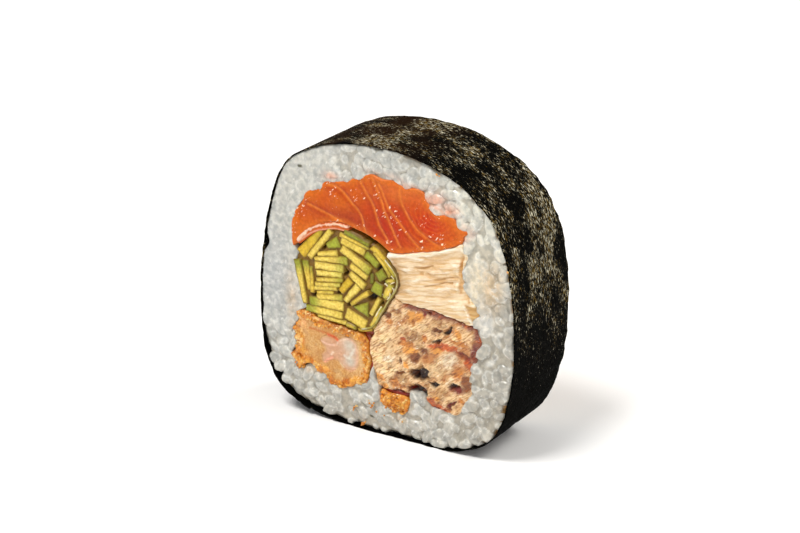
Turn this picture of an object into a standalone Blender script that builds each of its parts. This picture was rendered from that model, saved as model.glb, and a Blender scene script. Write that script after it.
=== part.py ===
"""A thick slice of seaweed-wrapped sushi roll, standing on its wrapper with a cut face to the front.

Metres, +Z up. The roll's axis runs along Y and the cut face that shows is at -Y. The origin is the middle of
the footprint, on the surface that the wrapper rests on. The outlines are lists of (x, z) points on the cut
face in millimetres, seen from the front, and every other length here is in millimetres too.
"""

import math
import random

import bmesh
import bpy
from mathutils import Matrix, Vector, noise

MM = 0.001

# The slice and its wrapper.
SLICE = 22.0
SHEET = 0.5
GAP = 0.32
SHEET_STEP = 2.2
SHEET_ROWS = 4
TUCK = GAP + SHEET

# The knife drifted, so the back cut bows out at mid height and draws in near the bottom.
BACK_BOW = 1.1
BACK_BOW_HEIGHT = 37.0
BACK_BOW_SPREAD = 15.0
BACK_TUCK = 1.6
BACK_TUCK_HEIGHT = 15.0

# Cooked short-grain rice.
GRAIN_LENGTH = 5.2
GRAIN_WIDTH = 2.9
GRAIN_DEPTH = 2.3
GRAIN_SPACING = 2.72
GRAIN_TRIES = 6000
GRAIN_RIM_POINTS = 10
GRAIN_SINK = 1.15
RICE_RECESS = 1.35
RICE_SIDES = 72

# The fillings' cut edges are this round, and their outlines this fine.
RIM = 0.5
FILLING_STEP = 1.7

# Craggy fillings are worked out on cells of this size and then thinned to this many triangles.
CELL = 0.75
EEL_TRIANGLES = 1250
BATTER_TRIANGLES = 1150
CRUMBS_TRIANGLES = 260

ROLL_MIDDLE = (0.5, 31.0)

# The outer side of the wrapper, clockwise from the flat bottom's left end.
ROLL_OUTLINE = (
    (-8.0, 0.0), (-13.0, 0.4), (-18.3, 1.3), (-23.0, 3.3), (-26.6, 6.4), (-29.0, 10.8), (-30.2, 15.6),
    (-30.5, 26.0), (-29.6, 36.4), (-27.4, 46.8), (-25.2, 52.8), (-22.3, 56.7), (-17.0, 59.6), (-11.5, 61.4),
    (-5.0, 62.3), (-0.7, 62.4), (5.0, 62.0), (9.6, 61.1), (14.6, 59.3), (18.5, 57.4), (22.4, 54.3),
    (25.3, 51.2), (27.2, 47.2), (28.7, 43.1), (30.2, 33.9), (30.6, 24.2), (30.2, 17.4), (29.4, 13.6),
    (28.1, 8.9), (25.0, 4.2), (20.2, 1.5), (14.0, 0.0), (3.0, 0.0),
)
# The sheet's inner end lies at this height inside the left corner, and its outer end at this x below it.
INNER_END_HEIGHT = 8.5
OUTER_END_X = -18.4
TUCK_BLEND = 5.0
# The rice lifts off the wrapper here, between these places along the bottom.
POCKET = (-18.0, -9.5)
POCKET_DEPTH = 0.7

SALMON_OUTLINE = (
    (-22.3, 37.3), (-22.4, 42.3), (-21.5, 45.8), (-19.8, 48.5), (-17.7, 50.4), (-15.4, 51.3), (-13.9, 52.9),
    (-10.1, 53.5), (-7.7, 54.4), (-4.8, 55.6), (-2.8, 56.3), (-0.3, 55.7), (2.2, 55.9), (4.9, 54.9),
    (7.5, 55.2), (9.4, 54.5), (10.2, 52.7), (11.8, 51.3), (13.4, 50.8), (15.1, 51.0), (16.6, 50.3),
    (17.7, 48.8), (20.0, 48.3), (18.6, 47.0), (18.1, 45.5), (15.2, 44.0), (12.2, 42.8), (9.3, 41.9),
    (6.3, 41.2), (3.8, 40.6), (1.3, 40.5), (-1.9, 42.2), (-4.3, 43.2), (-8.6, 44.3), (-11.3, 44.5),
    (-14.3, 43.7), (-17.2, 42.2), (-19.8, 40.2), (-21.4, 37.9),
)
CHEESE_OUTLINE = (
    (0.9, 39.2), (2.6, 40.1), (5.1, 40.7), (7.4, 41.1), (10.8, 41.9), (13.7, 42.8), (16.9, 44.0),
    (18.4, 44.9), (19.6, 42.9), (19.1, 41.3), (18.6, 39.8), (18.7, 38.0), (19.3, 36.0), (20.2, 34.4),
    (22.4, 32.1), (21.7, 30.0), (20.0, 28.8), (17.9, 29.4), (15.0, 30.0), (10.0, 30.4), (7.4, 30.6),
    (3.0, 30.9), (4.1, 33.5), (4.0, 35.3), (2.7, 37.3),
)
AVOCADO_OUTLINE = (
    (-21.9, 34.6), (-21.3, 36.2), (-19.4, 39.0), (-17.6, 40.6), (-15.2, 42.2), (-13.0, 42.9),
    (-10.5, 43.1), (-8.7, 43.3), (-6.0, 42.7), (-3.7, 41.5), (-2.0, 41.0), (0.0, 39.9), (1.5, 38.4),
    (2.9, 36.6), (3.5, 35.1), (3.5, 33.5), (2.5, 31.2), (1.1, 29.0), (0.0, 27.1), (-1.6, 24.3),
    (-2.9, 22.8), (-5.2, 22.0), (-7.8, 22.3), (-13.2, 22.6), (-16.2, 23.0), (-18.8, 23.9), (-20.0, 25.7),
    (-21.0, 29.5),
)
BATTER_OUTLINE = (
    (-19.6, 23.7), (-21.6, 22.8), (-21.3, 21.3), (-22.8, 18.9), (-22.1, 17.8), (-22.4, 16.0),
    (-22.1, 14.4), (-22.9, 13.0), (-21.8, 11.2), (-21.2, 9.8), (-19.9, 11.1), (-18.6, 11.7),
    (-17.0, 10.8), (-16.2, 9.5), (-15.0, 10.1), (-12.9, 8.0), (-10.0, 7.8), (-8.8, 8.5), (-7.1, 9.4),
    (-5.2, 9.9), (-4.0, 10.6), (-3.7, 12.4), (-3.3, 15.0), (-3.5, 17.0), (-4.1, 19.4), (-5.1, 21.2),
    (-9.7, 21.9), (-15.1, 22.1), (-17.6, 22.9),
)
PRAWN_OUTLINE = (
    (-15.6, 17.7), (-14.0, 19.0), (-11.5, 18.7), (-9.7, 19.6), (-8.0, 19.7), (-6.7, 18.7), (-6.2, 17.0),
    (-6.2, 15.0), (-6.6, 13.3), (-8.3, 12.5), (-10.1, 12.9), (-11.5, 14.0), (-13.2, 13.6), (-15.0, 13.0),
    (-15.3, 14.4), (-14.4, 16.0),
)
EEL_OUTLINE = (
    (2.4, 30.1), (5.0, 30.4), (10.0, 30.1), (14.5, 29.7), (17.3, 29.1), (19.8, 28.4), (21.4, 28.6),
    (22.6, 26.4), (22.9, 25.0), (22.2, 22.8), (21.5, 20.0), (20.9, 19.1), (20.7, 16.1), (20.7, 13.2),
    (18.9, 10.0), (17.3, 8.3), (14.5, 8.2), (11.6, 8.4), (9.8, 10.4), (8.0, 10.8), (5.6, 10.4),
    (3.0, 10.2), (-1.4, 10.6), (-2.3, 13.5), (-3.0, 16.3), (-3.7, 19.4), (-2.9, 21.3), (-1.7, 23.2),
    (-0.4, 25.4), (0.9, 27.7),
)
PRAWN_MIDDLE = (-10.8, 16.0)
PRAWN_RECESS = 0.3
HOLE_GAP = 0.6
BATTER_SIDES = 64
CRUMBS_OUTLINE = (
    (-0.7, 9.9), (-1.0, 8.3), (-0.6, 6.5), (1.0, 5.4), (3.1, 5.0), (5.0, 5.7), (5.9, 7.4), (5.7, 9.3),
    (3.6, 9.6), (1.4, 9.5),
)

# Cut avocado lies in the roll as thin pieces: middle x, middle z, length, width and slant in degrees.
AVOCADO_CORE_RECESS = 1.5
AVOCADO_PIECE_DEPTH = 3.0
AVOCADO_PIECES = (
    (-17.6, 38.9, 9.2, 2.2, 45), (-15.5, 39.0, 9.3, 1.5, 47), (-12.1, 39.9, 3.3, 2.6, 20),
    (-13.5, 37.5, 5.5, 1.2, 12), (-13.2, 36.1, 8.5, 1.3, 10), (-12.8, 34.5, 7.8, 1.5, 6),
    (-13.0, 32.8, 7.0, 1.3, 6), (-13.2, 31.3, 6.3, 1.3, 6), (-14.0, 29.8, 6.0, 1.3, 6),
    (-13.1, 28.2, 6.2, 1.5, 4), (-13.9, 26.2, 8.8, 2.0, 1), (-14.6, 24.1, 9.3, 1.7, -3),
    (-20.1, 29.9, 9.6, 1.5, -76), (-18.7, 31.5, 6.5, 1.4, -80), (-17.4, 30.7, 6.0, 0.9, -82),
    (-7.3, 41.9, 6.6, 1.6, -22), (-7.1, 39.8, 5.8, 1.6, -20), (-6.6, 37.3, 7.6, 1.9, -27),
    (-2.9, 38.0, 3.3, 2.2, -35), (-1.3, 39.6, 3.6, 1.3, -40), (1.3, 37.2, 5.4, 1.4, -55),
    (-0.5, 35.1, 3.0, 2.0, -20), (-1.6, 32.0, 2.9, 2.3, 15), (-5.9, 34.9, 5.0, 1.3, -38),
    (-6.1, 32.8, 4.5, 1.5, -33), (-9.1, 31.1, 3.8, 1.6, 50), (-7.5, 29.6, 5.2, 1.8, 52),
    (-5.6, 28.8, 5.0, 1.4, 35), (-4.8, 26.9, 3.6, 2.6, 10), (-6.8, 24.2, 5.8, 2.8, -14),
    (-1.4, 26.0, 6.5, 1.4, 62), (-1.9, 28.6, 4.3, 1.2, 63), (1.3, 32.2, 5.0, 1.5, 68),
)

# Flakes of eel flesh that stand out of the cut: x, z, half length, half width, slant and height.
EEL_FLAKES = (
    (2.6, 26.4, 4.2, 2.0, 58, 0.7), (7.3, 23.4, 3.2, 1.9, 8, 0.9), (8.5, 27.6, 4.4, 1.7, 10, 0.7),
    (15.8, 27.9, 4.6, 1.4, -14, 0.6), (0.8, 20.2, 3.4, 2.3, 50, 0.8), (5.2, 18.9, 3.6, 1.8, 32, 0.8),
    (13.0, 19.8, 4.6, 2.0, 24, 1.0), (18.6, 24.6, 3.2, 1.6, -40, 0.6), (18.2, 18.0, 2.8, 2.4, 40, 0.8),
    (0.4, 14.6, 2.6, 2.6, 20, 0.8), (4.4, 12.8, 2.4, 1.8, 35, 0.7), (12.8, 16.4, 3.0, 1.5, 12, 0.8),
    (13.4, 11.2, 3.2, 2.2, 20, 0.9), (18.4, 13.0, 2.0, 2.8, 10, 0.6),
)
# Pits and clefts between the flakes, in the same form, with a depth in place of a height.
EEL_CLEFTS = (
    (7.8, 15.0, 2.4, 1.7, 10, 2.4), (8.4, 11.6, 1.8, 1.3, -20, 2.2), (10.6, 22.8, 2.6, 0.9, 38, 1.5),
    (16.8, 22.7, 3.6, 0.8, -16, 1.5), (14.0, 26.1, 2.4, 0.8, 20, 1.0), (13.2, 13.8, 3.0, 0.8, -4, 1.3),
    (2.6, 16.6, 2.2, 0.7, 40, 1.0), (4.2, 21.6, 3.0, 0.7, 30, 1.0),
)


def resample(path, step, closed):
    """Points a step apart along a polyline."""
    ends = list(path) + ([path[0]] if closed else [])
    lengths = [0.0]
    for a, b in zip(ends, ends[1:]):
        lengths.append(lengths[-1] + (b - a).length)
    count = max(3, round(lengths[-1] / step))
    points = []
    k = 0
    for i in range(count if closed else count + 1):
        wanted = lengths[-1] * i / count
        while k < len(ends) - 2 and lengths[k + 1] < wanted:
            k += 1
        share = (wanted - lengths[k]) / max(lengths[k + 1] - lengths[k], 1e-9)
        points.append(ends[k].lerp(ends[k + 1], min(share, 1.0)))
    return points


def smooth_loop(outline, step):
    """A closed curve through the outline's points, sampled a step apart."""
    points = [Vector(p) for p in outline]
    count = len(points)
    fine = []
    for i in range(count):
        a, b, c, d = (points[(i + k) % count] for k in (-1, 0, 1, 2))
        for part in range(8):
            t = part / 8
            bend = (2 * a - 5 * b + 4 * c - d) * t * t + (3 * b - a - 3 * c + d) * t**3
            fine.append(0.5 * (2 * b + (c - a) * t + bend))
    return resample(fine, step, True)


def roll_loop(step):
    """The wrapper's outer side, lying flat on the surface below it."""
    return [Vector((point.x, max(point.y, 0.0))) for point in smooth_loop(ROLL_OUTLINE, step)]


def is_clockwise(loop):
    return sum(a.cross(b) for a, b in zip(loop, loop[1:] + loop[:1])) < 0


def inward(loop, i):
    """The unit vector from point i of a closed loop to its inside."""
    along = (loop[(i + 1) % len(loop)] - loop[i - 1]).normalized()
    turned = Vector((along.y, -along.x))
    return turned if is_clockwise(loop) else -turned


def inset(loop, depth):
    """The loop moved inwards. The depth is a length, or a function of the point."""
    moved = []
    for i, point in enumerate(loop):
        here = depth(point) if callable(depth) else depth
        moved.append(point + inward(loop, i) * here)
    return moved


def reach(loop, middle, angle):
    """How far a ray from the middle goes to the loop's far side."""
    start = Vector(middle)
    way = Vector((math.cos(angle), math.sin(angle)))
    farthest = 0.0
    for a, b in zip(loop, loop[1:] + loop[:1]):
        side_a = way.cross(a - start)
        side_b = way.cross(b - start)
        if side_a * side_b > 0 or side_a == side_b:
            continue
        crossing = a.lerp(b, side_a / (side_a - side_b))
        farthest = max(farthest, way.dot(crossing - start))
    return farthest


def inside(loop, point):
    """Whether the loop goes round the point."""
    hits = 0
    for a, b in zip(loop, loop[1:] + loop[:1]):
        if (a.y > point.y) != (b.y > point.y):
            hits += point.x < a.x + (b.x - a.x) * (point.y - a.y) / (b.y - a.y)
    return hits % 2 == 1


def ramp(value, low, high):
    """0 below low, 1 above high, and smooth between them."""
    t = min(max((value - low) / (high - low), 0.0), 1.0)
    return t * t * (3 - 2 * t)


def back_cut(height):
    """How far the back cut lies behind a straight one, at this height."""
    bow = BACK_BOW * math.exp(-(((height - BACK_BOW_HEIGHT) / BACK_BOW_SPREAD) ** 2))
    return bow - BACK_TUCK * (1 - ramp(height, 0.0, BACK_TUCK_HEIGHT))


def settle(mesh):
    """Brings a mesh to metres and its back to where the knife went, with the slice's depth centred."""
    for vertex in mesh.vertices:
        x, y, z = vertex.co
        share = ramp(y, -SLICE / 4, SLICE / 2)
        vertex.co = Vector((x, y + share * back_cut(z) - BACK_BOW / 2, z)) * MM


def new_material(name, colour, roughness):
    material = bpy.data.materials.new(name)
    material.use_nodes = True
    shader = material.node_tree.nodes["Principled BSDF"]
    shader.inputs["Base Color"].default_value = (*colour, 1.0)
    shader.inputs["Roughness"].default_value = roughness
    material.diffuse_color = (*colour, 1.0)
    return material


def new_object(name, bm, collection):
    """An object in millimetres from a bmesh, with its faces turned outwards."""
    bmesh.ops.recalc_face_normals(bm, faces=bm.faces)
    mesh = bpy.data.meshes.new(name)
    bm.to_mesh(mesh)
    bm.free()
    obj = bpy.data.objects.new(name, mesh)
    collection.objects.link(obj)
    return obj


def apply_modifiers(obj):
    """Gives an object the mesh that its modifiers make."""
    graph = bpy.context.evaluated_depsgraph_get()
    mesh = bpy.data.meshes.new_from_object(obj.evaluated_get(graph))
    obj.modifiers.clear()
    obj.data = mesh


def finish(obj, material):
    """Applies what is left, brings the object to its real size and colours it."""
    apply_modifiers(obj)
    settle(obj.data)
    obj.data.materials.clear()
    obj.data.materials.append(material)
    obj.data.shade_smooth()
    obj.data.set_sharp_from_angle(angle=math.radians(40))


def face_row(bm, outer, inner, share, side, relief):
    """A row of points on a cut face, part of the way in from the outer loop, at the relief's depth."""
    row = []
    for a, b in zip(outer, inner):
        point = a.lerp(b, share)
        depth = SLICE / 2 - relief(point.x, point.y, side)
        row.append(bm.verts.new((point.x, side * depth, point.y)))
    return row


def ring_solid(name, outer, inner, relief, collection):
    """A ring through the slice, whose two cut faces have a row of points half way across."""
    bm = bmesh.new()
    rows = [face_row(bm, outer, inner, share, -1, relief) for share in (1.0, 0.5, 0.0)]
    rows += [face_row(bm, outer, inner, share, 1, relief) for share in (0.0, 0.5, 1.0)]
    for row, following in zip(rows, rows[1:] + rows[:1]):
        for i in range(len(row)):
            k = (i + 1) % len(row)
            bm.faces.new((row[i], row[k], following[k], following[i]))
    return new_object(name, bm, collection)


def prism(name, loop, half_depth, collection):
    """A flat outline drawn through the slice."""
    bm = bmesh.new()
    face = bm.faces.new([bm.verts.new((p.x, -half_depth, p.y)) for p in loop])
    grown = bmesh.ops.extrude_face_region(bm, geom=[face])
    moved = [v for v in grown["geom"] if isinstance(v, bmesh.types.BMVert)]
    bmesh.ops.translate(bm, verts=moved, vec=(0, 2 * half_depth, 0))
    return new_object(name, bm, collection)


def round_cut_edges(obj):
    """Rounds the edges between a prism's sides and its cut faces."""
    bevel = obj.modifiers.new("cut edges", "BEVEL")
    bevel.width = RIM
    bevel.segments = 1
    bevel.limit_method = "ANGLE"
    bevel.angle_limit = math.radians(65)


def roughen(obj, move, triangles):
    """Gives a plain solid fine cells, moves each of their points, and thins the result."""
    cells = obj.modifiers.new("cells", "REMESH")
    cells.mode = "VOXEL"
    cells.voxel_size = CELL
    apply_modifiers(obj)
    for vertex in obj.data.vertices:
        vertex.co = move(vertex.co.copy(), vertex.normal.copy())
    thin = obj.modifiers.new("thinned", "DECIMATE")
    thin.ratio = triangles / sum(len(face.vertices) - 2 for face in obj.data.polygons)
    apply_modifiers(obj)


def polar_loop(middle, count, radius):
    """A loop of points round a middle, at the radius that a function gives for each angle."""
    loop = []
    for i in range(count):
        angle = 2 * math.pi * i / count
        way = Vector((math.cos(angle), math.sin(angle)))
        loop.append(Vector(middle) + way * radius(angle))
    return loop


def filling_loops():
    """The outline of each filling, drawn in by half a gap."""
    outlines = {
        "salmon": SALMON_OUTLINE,
        "cream_cheese": CHEESE_OUTLINE,
        "avocado": AVOCADO_OUTLINE,
        "tempura_batter": BATTER_OUTLINE,
        "eel": EEL_OUTLINE,
        "batter_crumbs": CRUMBS_OUTLINE,
    }
    return {name: inset(smooth_loop(points, FILLING_STEP), GAP / 2) for name, points in outlines.items()}


def bed_radius(loops):
    """The radius of the hollow in the rice that holds every filling, for each angle."""

    def radius(angle):
        near = [angle + turn * 0.035 for turn in (-2, -1, 0, 1, 2)]
        return GAP + 0.1 + max(reach(loop, ROLL_MIDDLE, turn) for loop in loops.values() for turn in near)

    return radius


def left_corner(point):
    """1 where the sheet lies double, round the bottom left corner, and 0 away from it."""
    beyond_outer_end = ramp(-point.x, -OUTER_END_X - TUCK_BLEND, -OUTER_END_X)
    below_inner_end = 1 - ramp(point.y, INNER_END_HEIGHT, INNER_END_HEIGHT + TUCK_BLEND)
    return beyond_outer_end * below_inner_end


def rice_depth(point):
    """How far the rice lies inside the wrapper's outer side."""
    depth = SHEET + GAP + TUCK * left_corner(point)
    if point.y < ROLL_MIDDLE[1]:
        lifted = ramp(point.x, POCKET[0], POCKET[0] + 2) * (1 - ramp(point.x, POCKET[1] - 5, POCKET[1]))
        depth += POCKET_DEPTH * lifted
    return depth


def make_nori(collection):
    """One sheet of seaweed, wound once round with its ends lapped at the bottom left corner."""
    outline = roll_loop(SHEET_STEP / 4)
    on_left = [i for i, point in enumerate(outline) if point.x < 0 and point.y < ROLL_MIDDLE[1]]
    first = min(on_left, key=lambda i: abs(outline[i].y - INNER_END_HEIGHT))
    # From the inner end down, along the bottom, up the right side, over the top and down the left side.
    way_round = [(first - k) % len(outline) for k in range(len(outline))]
    half = len(way_round) // 2
    tucked = [outline[i] + inward(outline, i) * (TUCK * left_corner(outline[i])) for i in way_round[:half]]
    plain = [outline[i] for i in way_round[half:]]
    lap = [outline[i] for i in way_round[:half] if outline[i].x < OUTER_END_X]
    path = resample(tucked + plain + lap, SHEET_STEP, False)
    bm = bmesh.new()
    rows = []
    for k in range(SHEET_ROWS + 1):
        depth = SLICE * (k / SHEET_ROWS - 0.5)
        rows.append([bm.verts.new((p.x, depth, p.y)) for p in path])
    for row, following in zip(rows, rows[1:]):
        for i in range(len(path) - 1):
            bm.faces.new((row[i], following[i], following[i + 1], row[i + 1]))
    mesh = bpy.data.meshes.new("nori")
    bm.to_mesh(mesh)
    bm.free()
    obj = bpy.data.objects.new("nori", mesh)
    collection.objects.link(obj)
    solid = obj.modifiers.new("sheet", "SOLIDIFY")
    solid.thickness = SHEET
    solid.offset = -1
    return obj


def largest_shell(mesh):
    """Leaves only the biggest connected surface, so that sealed hollows are filled and scraps dropped."""
    bm = bmesh.new()
    bm.from_mesh(mesh)
    left = set(bm.verts)
    shells = []
    while left:
        start = left.pop()
        shell = {start}
        stack = [start]
        while stack:
            for edge in stack.pop().link_edges:
                for vertex in edge.verts:
                    if vertex not in shell:
                        shell.add(vertex)
                        stack.append(vertex)
        left -= shell
        shells.append(shell)
    biggest = max(shells, key=len)
    spare = [v for shell in shells if shell is not biggest for v in shell]
    bmesh.ops.delete(bm, geom=spare, context="VERTS")
    bm.to_mesh(mesh)
    bm.free()


def fuse(core, pieces):
    """Joins every object of a collection to the core by one Boolean union, then removes the collection."""
    union = core.modifiers.new("fused", "BOOLEAN")
    union.operation = "UNION"
    union.operand_type = "COLLECTION"
    union.collection = pieces
    union.solver = "MANIFOLD"
    apply_modifiers(core)
    for piece in list(pieces.objects):
        bpy.data.objects.remove(piece)
    bpy.data.collections.remove(pieces)
    largest_shell(core.data)


def piece_collection(name):
    pieces = bpy.data.collections.new(name)
    bpy.context.scene.collection.children.link(pieces)
    return pieces


def make_grain(name, x, y, z, size, slant, tilt, roll, pieces):
    """A grain of rice: a plain ball stretched along its own length and laid nearly flat on the cut."""
    bm = bmesh.new()
    bmesh.ops.create_icosphere(bm, subdivisions=1, radius=0.55)
    turn = Matrix.Rotation(-slant, 4, "Y") @ Matrix.Rotation(tilt, 4, "Z") @ Matrix.Rotation(roll, 4, "X")
    lie_down = Matrix.Rotation(math.pi / 2, 4, "Y")
    shape = Matrix.Translation((x, y, z)) @ turn @ Matrix.Diagonal((*size, 1.0)) @ lie_down
    bmesh.ops.transform(bm, matrix=shape, verts=bm.verts)
    return new_object(name, bm, pieces)


def grain_outline(middle, length, width, slant):
    """Points round a grain as seen from the front."""
    along = Vector((math.cos(slant), math.sin(slant)))
    across = Vector((-along.y, along.x)) * width / 2
    along *= length / 2
    angles = [2 * math.pi * k / GRAIN_RIM_POINTS for k in range(GRAIN_RIM_POINTS)]
    return [middle + along * math.cos(angle) + across * math.sin(angle) for angle in angles]


def scatter_grains(side, rice, bed, chance, pieces):
    """Lays grains over one cut face, clear of the wrapper and of the fillings."""
    taken = []
    low = Vector((min(p.x for p in rice), min(p.y for p in rice)))
    high = Vector((max(p.x for p in rice), max(p.y for p in rice)))
    for _ in range(GRAIN_TRIES):
        middle = Vector((chance.uniform(low.x, high.x), chance.uniform(low.y, high.y)))
        length = GRAIN_LENGTH * chance.uniform(0.8, 1.05)
        width = GRAIN_WIDTH * chance.uniform(0.85, 1.05)
        slant = chance.uniform(0, math.pi)
        tilt = chance.uniform(-0.28, 0.28)
        roll = chance.uniform(0, 0.47)
        if not inside(rice, middle) or inside(bed, middle):
            continue
        if any((middle - other).length < GRAIN_SPACING for other in taken):
            continue
        for attempt in range(5):
            rim = grain_outline(middle, length, width, slant)
            if all(inside(rice, p) and not inside(bed, p) for p in rim):
                break
            slant += math.pi / 5
            length *= 0.94
        else:
            continue
        taken.append(middle)
        y = side * (SLICE / 2 - GRAIN_SINK - chance.uniform(0.0, 0.25))
        size = (length, GRAIN_DEPTH, width)
        name = f"grain_{'front' if side < 0 else 'back'}_{len(taken):03d}"
        make_grain(name, middle.x, y, middle.y, size, slant, tilt * side, roll, pieces)


def make_rice(loops, collection):
    """The ring of rice: a core with a hollow for the fillings, and grains fused on both cut faces."""
    chance = random.Random(11)
    outline = inset(roll_loop(0.8), rice_depth)
    outer = polar_loop(ROLL_MIDDLE, RICE_SIDES, lambda angle: reach(outline, ROLL_MIDDLE, angle))
    bed = polar_loop(ROLL_MIDDLE, RICE_SIDES, bed_radius(loops))

    def recess(x, z, side):
        return RICE_RECESS + 0.35 * noise.noise(Vector((x, 9 * side, z)) * 0.23)

    core = ring_solid("rice", outer, bed, recess, collection)
    pieces = piece_collection("grains")
    grain_room = inset(outer, 0.05)
    grain_bed = polar_loop(ROLL_MIDDLE, 4 * RICE_SIDES, lambda angle: reach(bed, ROLL_MIDDLE, angle) + 0.05)
    for side in (-1, 1):
        scatter_grains(side, grain_room, grain_bed, chance, pieces)
    fuse(core, pieces)
    return core


def make_avocado(loop, collection):
    """The avocado: a core with its cut pieces fused on at both ends, dark gaps left between them."""
    chance = random.Random(5)
    core = prism("avocado", loop, SLICE / 2 - AVOCADO_CORE_RECESS, collection)
    pieces = piece_collection("avocado_pieces")
    room = inset(loop, 0.1)
    for side in (-1, 1):
        for k, (x, z, length, width, slant) in enumerate(AVOCADO_PIECES):
            turn = math.radians(slant + chance.uniform(-3, 3))
            middle = Vector((x, z))
            for attempt in range(12):
                along = Vector((math.cos(turn), math.sin(turn))) * length / 2
                across = Vector((-along.y, along.x)).normalized() * width / 2
                corners = [middle + a * along + b * across for a in (-1, 1) for b in (-1, 1)]
                if all(inside(room, corner) for corner in corners):
                    break
                length *= 0.95
                middle = middle.lerp(Vector((-9.5, 32.5)), 0.02)
            front = SLICE / 2 - chance.uniform(0.1, 0.6)
            bm = bmesh.new()
            bmesh.ops.create_cube(bm, size=1.0)
            place = Matrix.Translation((middle.x, side * (front - AVOCADO_PIECE_DEPTH / 2), middle.y))
            lean = Matrix.Rotation(chance.uniform(-0.04, 0.04), 4, "Z")
            size = Matrix.Diagonal((length, AVOCADO_PIECE_DEPTH, width, 1.0))
            shape = place @ Matrix.Rotation(-turn, 4, "Y") @ lean @ size
            bmesh.ops.transform(bm, matrix=shape, verts=bm.verts)
            new_object(f"avocado_piece_{'front' if side < 0 else 'back'}_{k:02d}", bm, pieces)
    fuse(core, pieces)
    return core


def lump(x, z, form, side):
    """1 at the middle of a flake or cleft, falling to 0 at its edge."""
    middle_x, middle_z, half_length, half_width, slant, _ = form
    turn = math.radians(slant * (1 if side < 0 else 0.6))
    dx = x - middle_x
    dz = z - middle_z
    along = (dx * math.cos(turn) + dz * math.sin(turn)) / half_length
    across = (dz * math.cos(turn) - dx * math.sin(turn)) / half_width
    return max(0.0, 1 - along * along - across * across)


def eel_relief(x, z, side):
    """How far the eel's cut lies behind the slice's face: flakes stand out and clefts go in."""
    flakes = max(form[5] * math.sqrt(lump(x, z, form, side)) for form in EEL_FLAKES)
    clefts = sum(form[5] * lump(x, z, form, side) for form in EEL_CLEFTS)
    rough = 0.25 * noise.noise(Vector((x, 5 * side, z)) * 0.7)
    return max(0.0, 1.1 - flakes + clefts + rough)


def crag(point, depth):
    """A point of a fried or flaky side, moved in or out by up to the depth."""
    return depth * noise.noise(point * 0.5)


def eel_point(point, normal):
    """A point of the eel, moved in to its relief on the cut faces and made uneven on the sides."""
    side = -1 if point.y < 0 else 1
    facing = ramp(abs(normal.y), 0.3, 0.8)
    moved = point + normal * (1 - facing) * (crag(point, 0.35) - 0.1)
    moved.y -= side * facing * eel_relief(point.x, point.z, side)
    return moved


def fried_point(prawn):
    """A function that moves a point of a fried coat: crumbs stand out all over but in the prawn's hole."""

    def move(point, normal):
        from_prawn = min((Vector((point.x, point.z)) - corner).length for corner in prawn)
        away = ramp(from_prawn, HOLE_GAP, HOLE_GAP + 2.0)
        facing = ramp(abs(normal.y), 0.3, 0.8)
        rough = crag(point * 1.6, 0.55) * away
        return point + normal * (rough - 0.3 * facing - 0.15 * away)

    return move


def make_eel(loop, collection):
    """The eel: a thick piece of flaky flesh."""
    eel = prism("eel", loop, SLICE / 2, collection)
    roughen(eel, eel_point, EEL_TRIANGLES)
    return eel


def make_batter(loop, prawn, collection):
    """The prawn's fried coat: a crumbed ring with the prawn's outline for its hole."""
    hole = inset(prawn, -HOLE_GAP)
    outer = polar_loop(PRAWN_MIDDLE, BATTER_SIDES, lambda angle: reach(loop, PRAWN_MIDDLE, angle))
    inner = polar_loop(PRAWN_MIDDLE, BATTER_SIDES, lambda angle: reach(hole, PRAWN_MIDDLE, angle))
    batter = ring_solid("tempura_batter", outer, inner, lambda x, z, side: 0.0, collection)
    roughen(batter, fried_point(prawn), BATTER_TRIANGLES)
    return batter


def make_crumbs(loop, prawn, collection):
    """Loose fried crumbs, pressed into one ragged strand below the eel."""
    crumbs = prism("batter_crumbs", loop, SLICE / 2, collection)
    roughen(crumbs, fried_point(prawn), CRUMBS_TRIANGLES)
    return crumbs


def main():
    for obj in list(bpy.data.objects):
        bpy.data.objects.remove(obj)
    collection = bpy.data.collections.new("sushi_roll_slice")
    bpy.context.scene.collection.children.link(collection)
    loops = filling_loops()
    prawn_loop = smooth_loop(PRAWN_OUTLINE, 1.0)
    finish(make_nori(collection), new_material("nori", (0.012, 0.013, 0.010), 0.45))
    finish(make_rice(loops, collection), new_material("rice", (0.78, 0.76, 0.70), 0.4))
    salmon = prism("salmon", loops["salmon"], SLICE / 2, collection)
    round_cut_edges(salmon)
    finish(salmon, new_material("salmon", (0.72, 0.16, 0.03), 0.3))
    cheese = prism("cream_cheese", loops["cream_cheese"], SLICE / 2, collection)
    round_cut_edges(cheese)
    finish(cheese, new_material("cream_cheese", (0.86, 0.76, 0.60), 0.45))
    finish(make_avocado(loops["avocado"], collection), new_material("avocado", (0.62, 0.55, 0.12), 0.4))
    batter = make_batter(loops["tempura_batter"], prawn_loop, collection)
    finish(batter, new_material("fried_batter", (0.62, 0.30, 0.07), 0.55))
    prawn = prism("prawn", prawn_loop, SLICE / 2 - PRAWN_RECESS, collection)
    round_cut_edges(prawn)
    finish(prawn, new_material("prawn", (0.80, 0.62, 0.52), 0.35))
    finish(make_eel(loops["eel"], collection), new_material("eel", (0.50, 0.27, 0.10), 0.4))
    crumbs = make_crumbs(loops["batter_crumbs"], prawn_loop, collection)
    finish(crumbs, new_material("fried_crumbs", (0.66, 0.30, 0.05), 0.55))


main()
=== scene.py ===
"""The looks of a thick slice of seaweed-wrapped sushi roll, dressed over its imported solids.

Metres, +Z up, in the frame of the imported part: the cut face that shows looks along -Y. Lengths in the
tables and in the shape functions are millimetres, and outlines are (x, z) points seen from the front.
"""

import math

import bpy
import numpy as np
from mathutils import Matrix, Vector, kdtree
from mathutils.geometry import delaunay_2d_cdt


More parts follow.
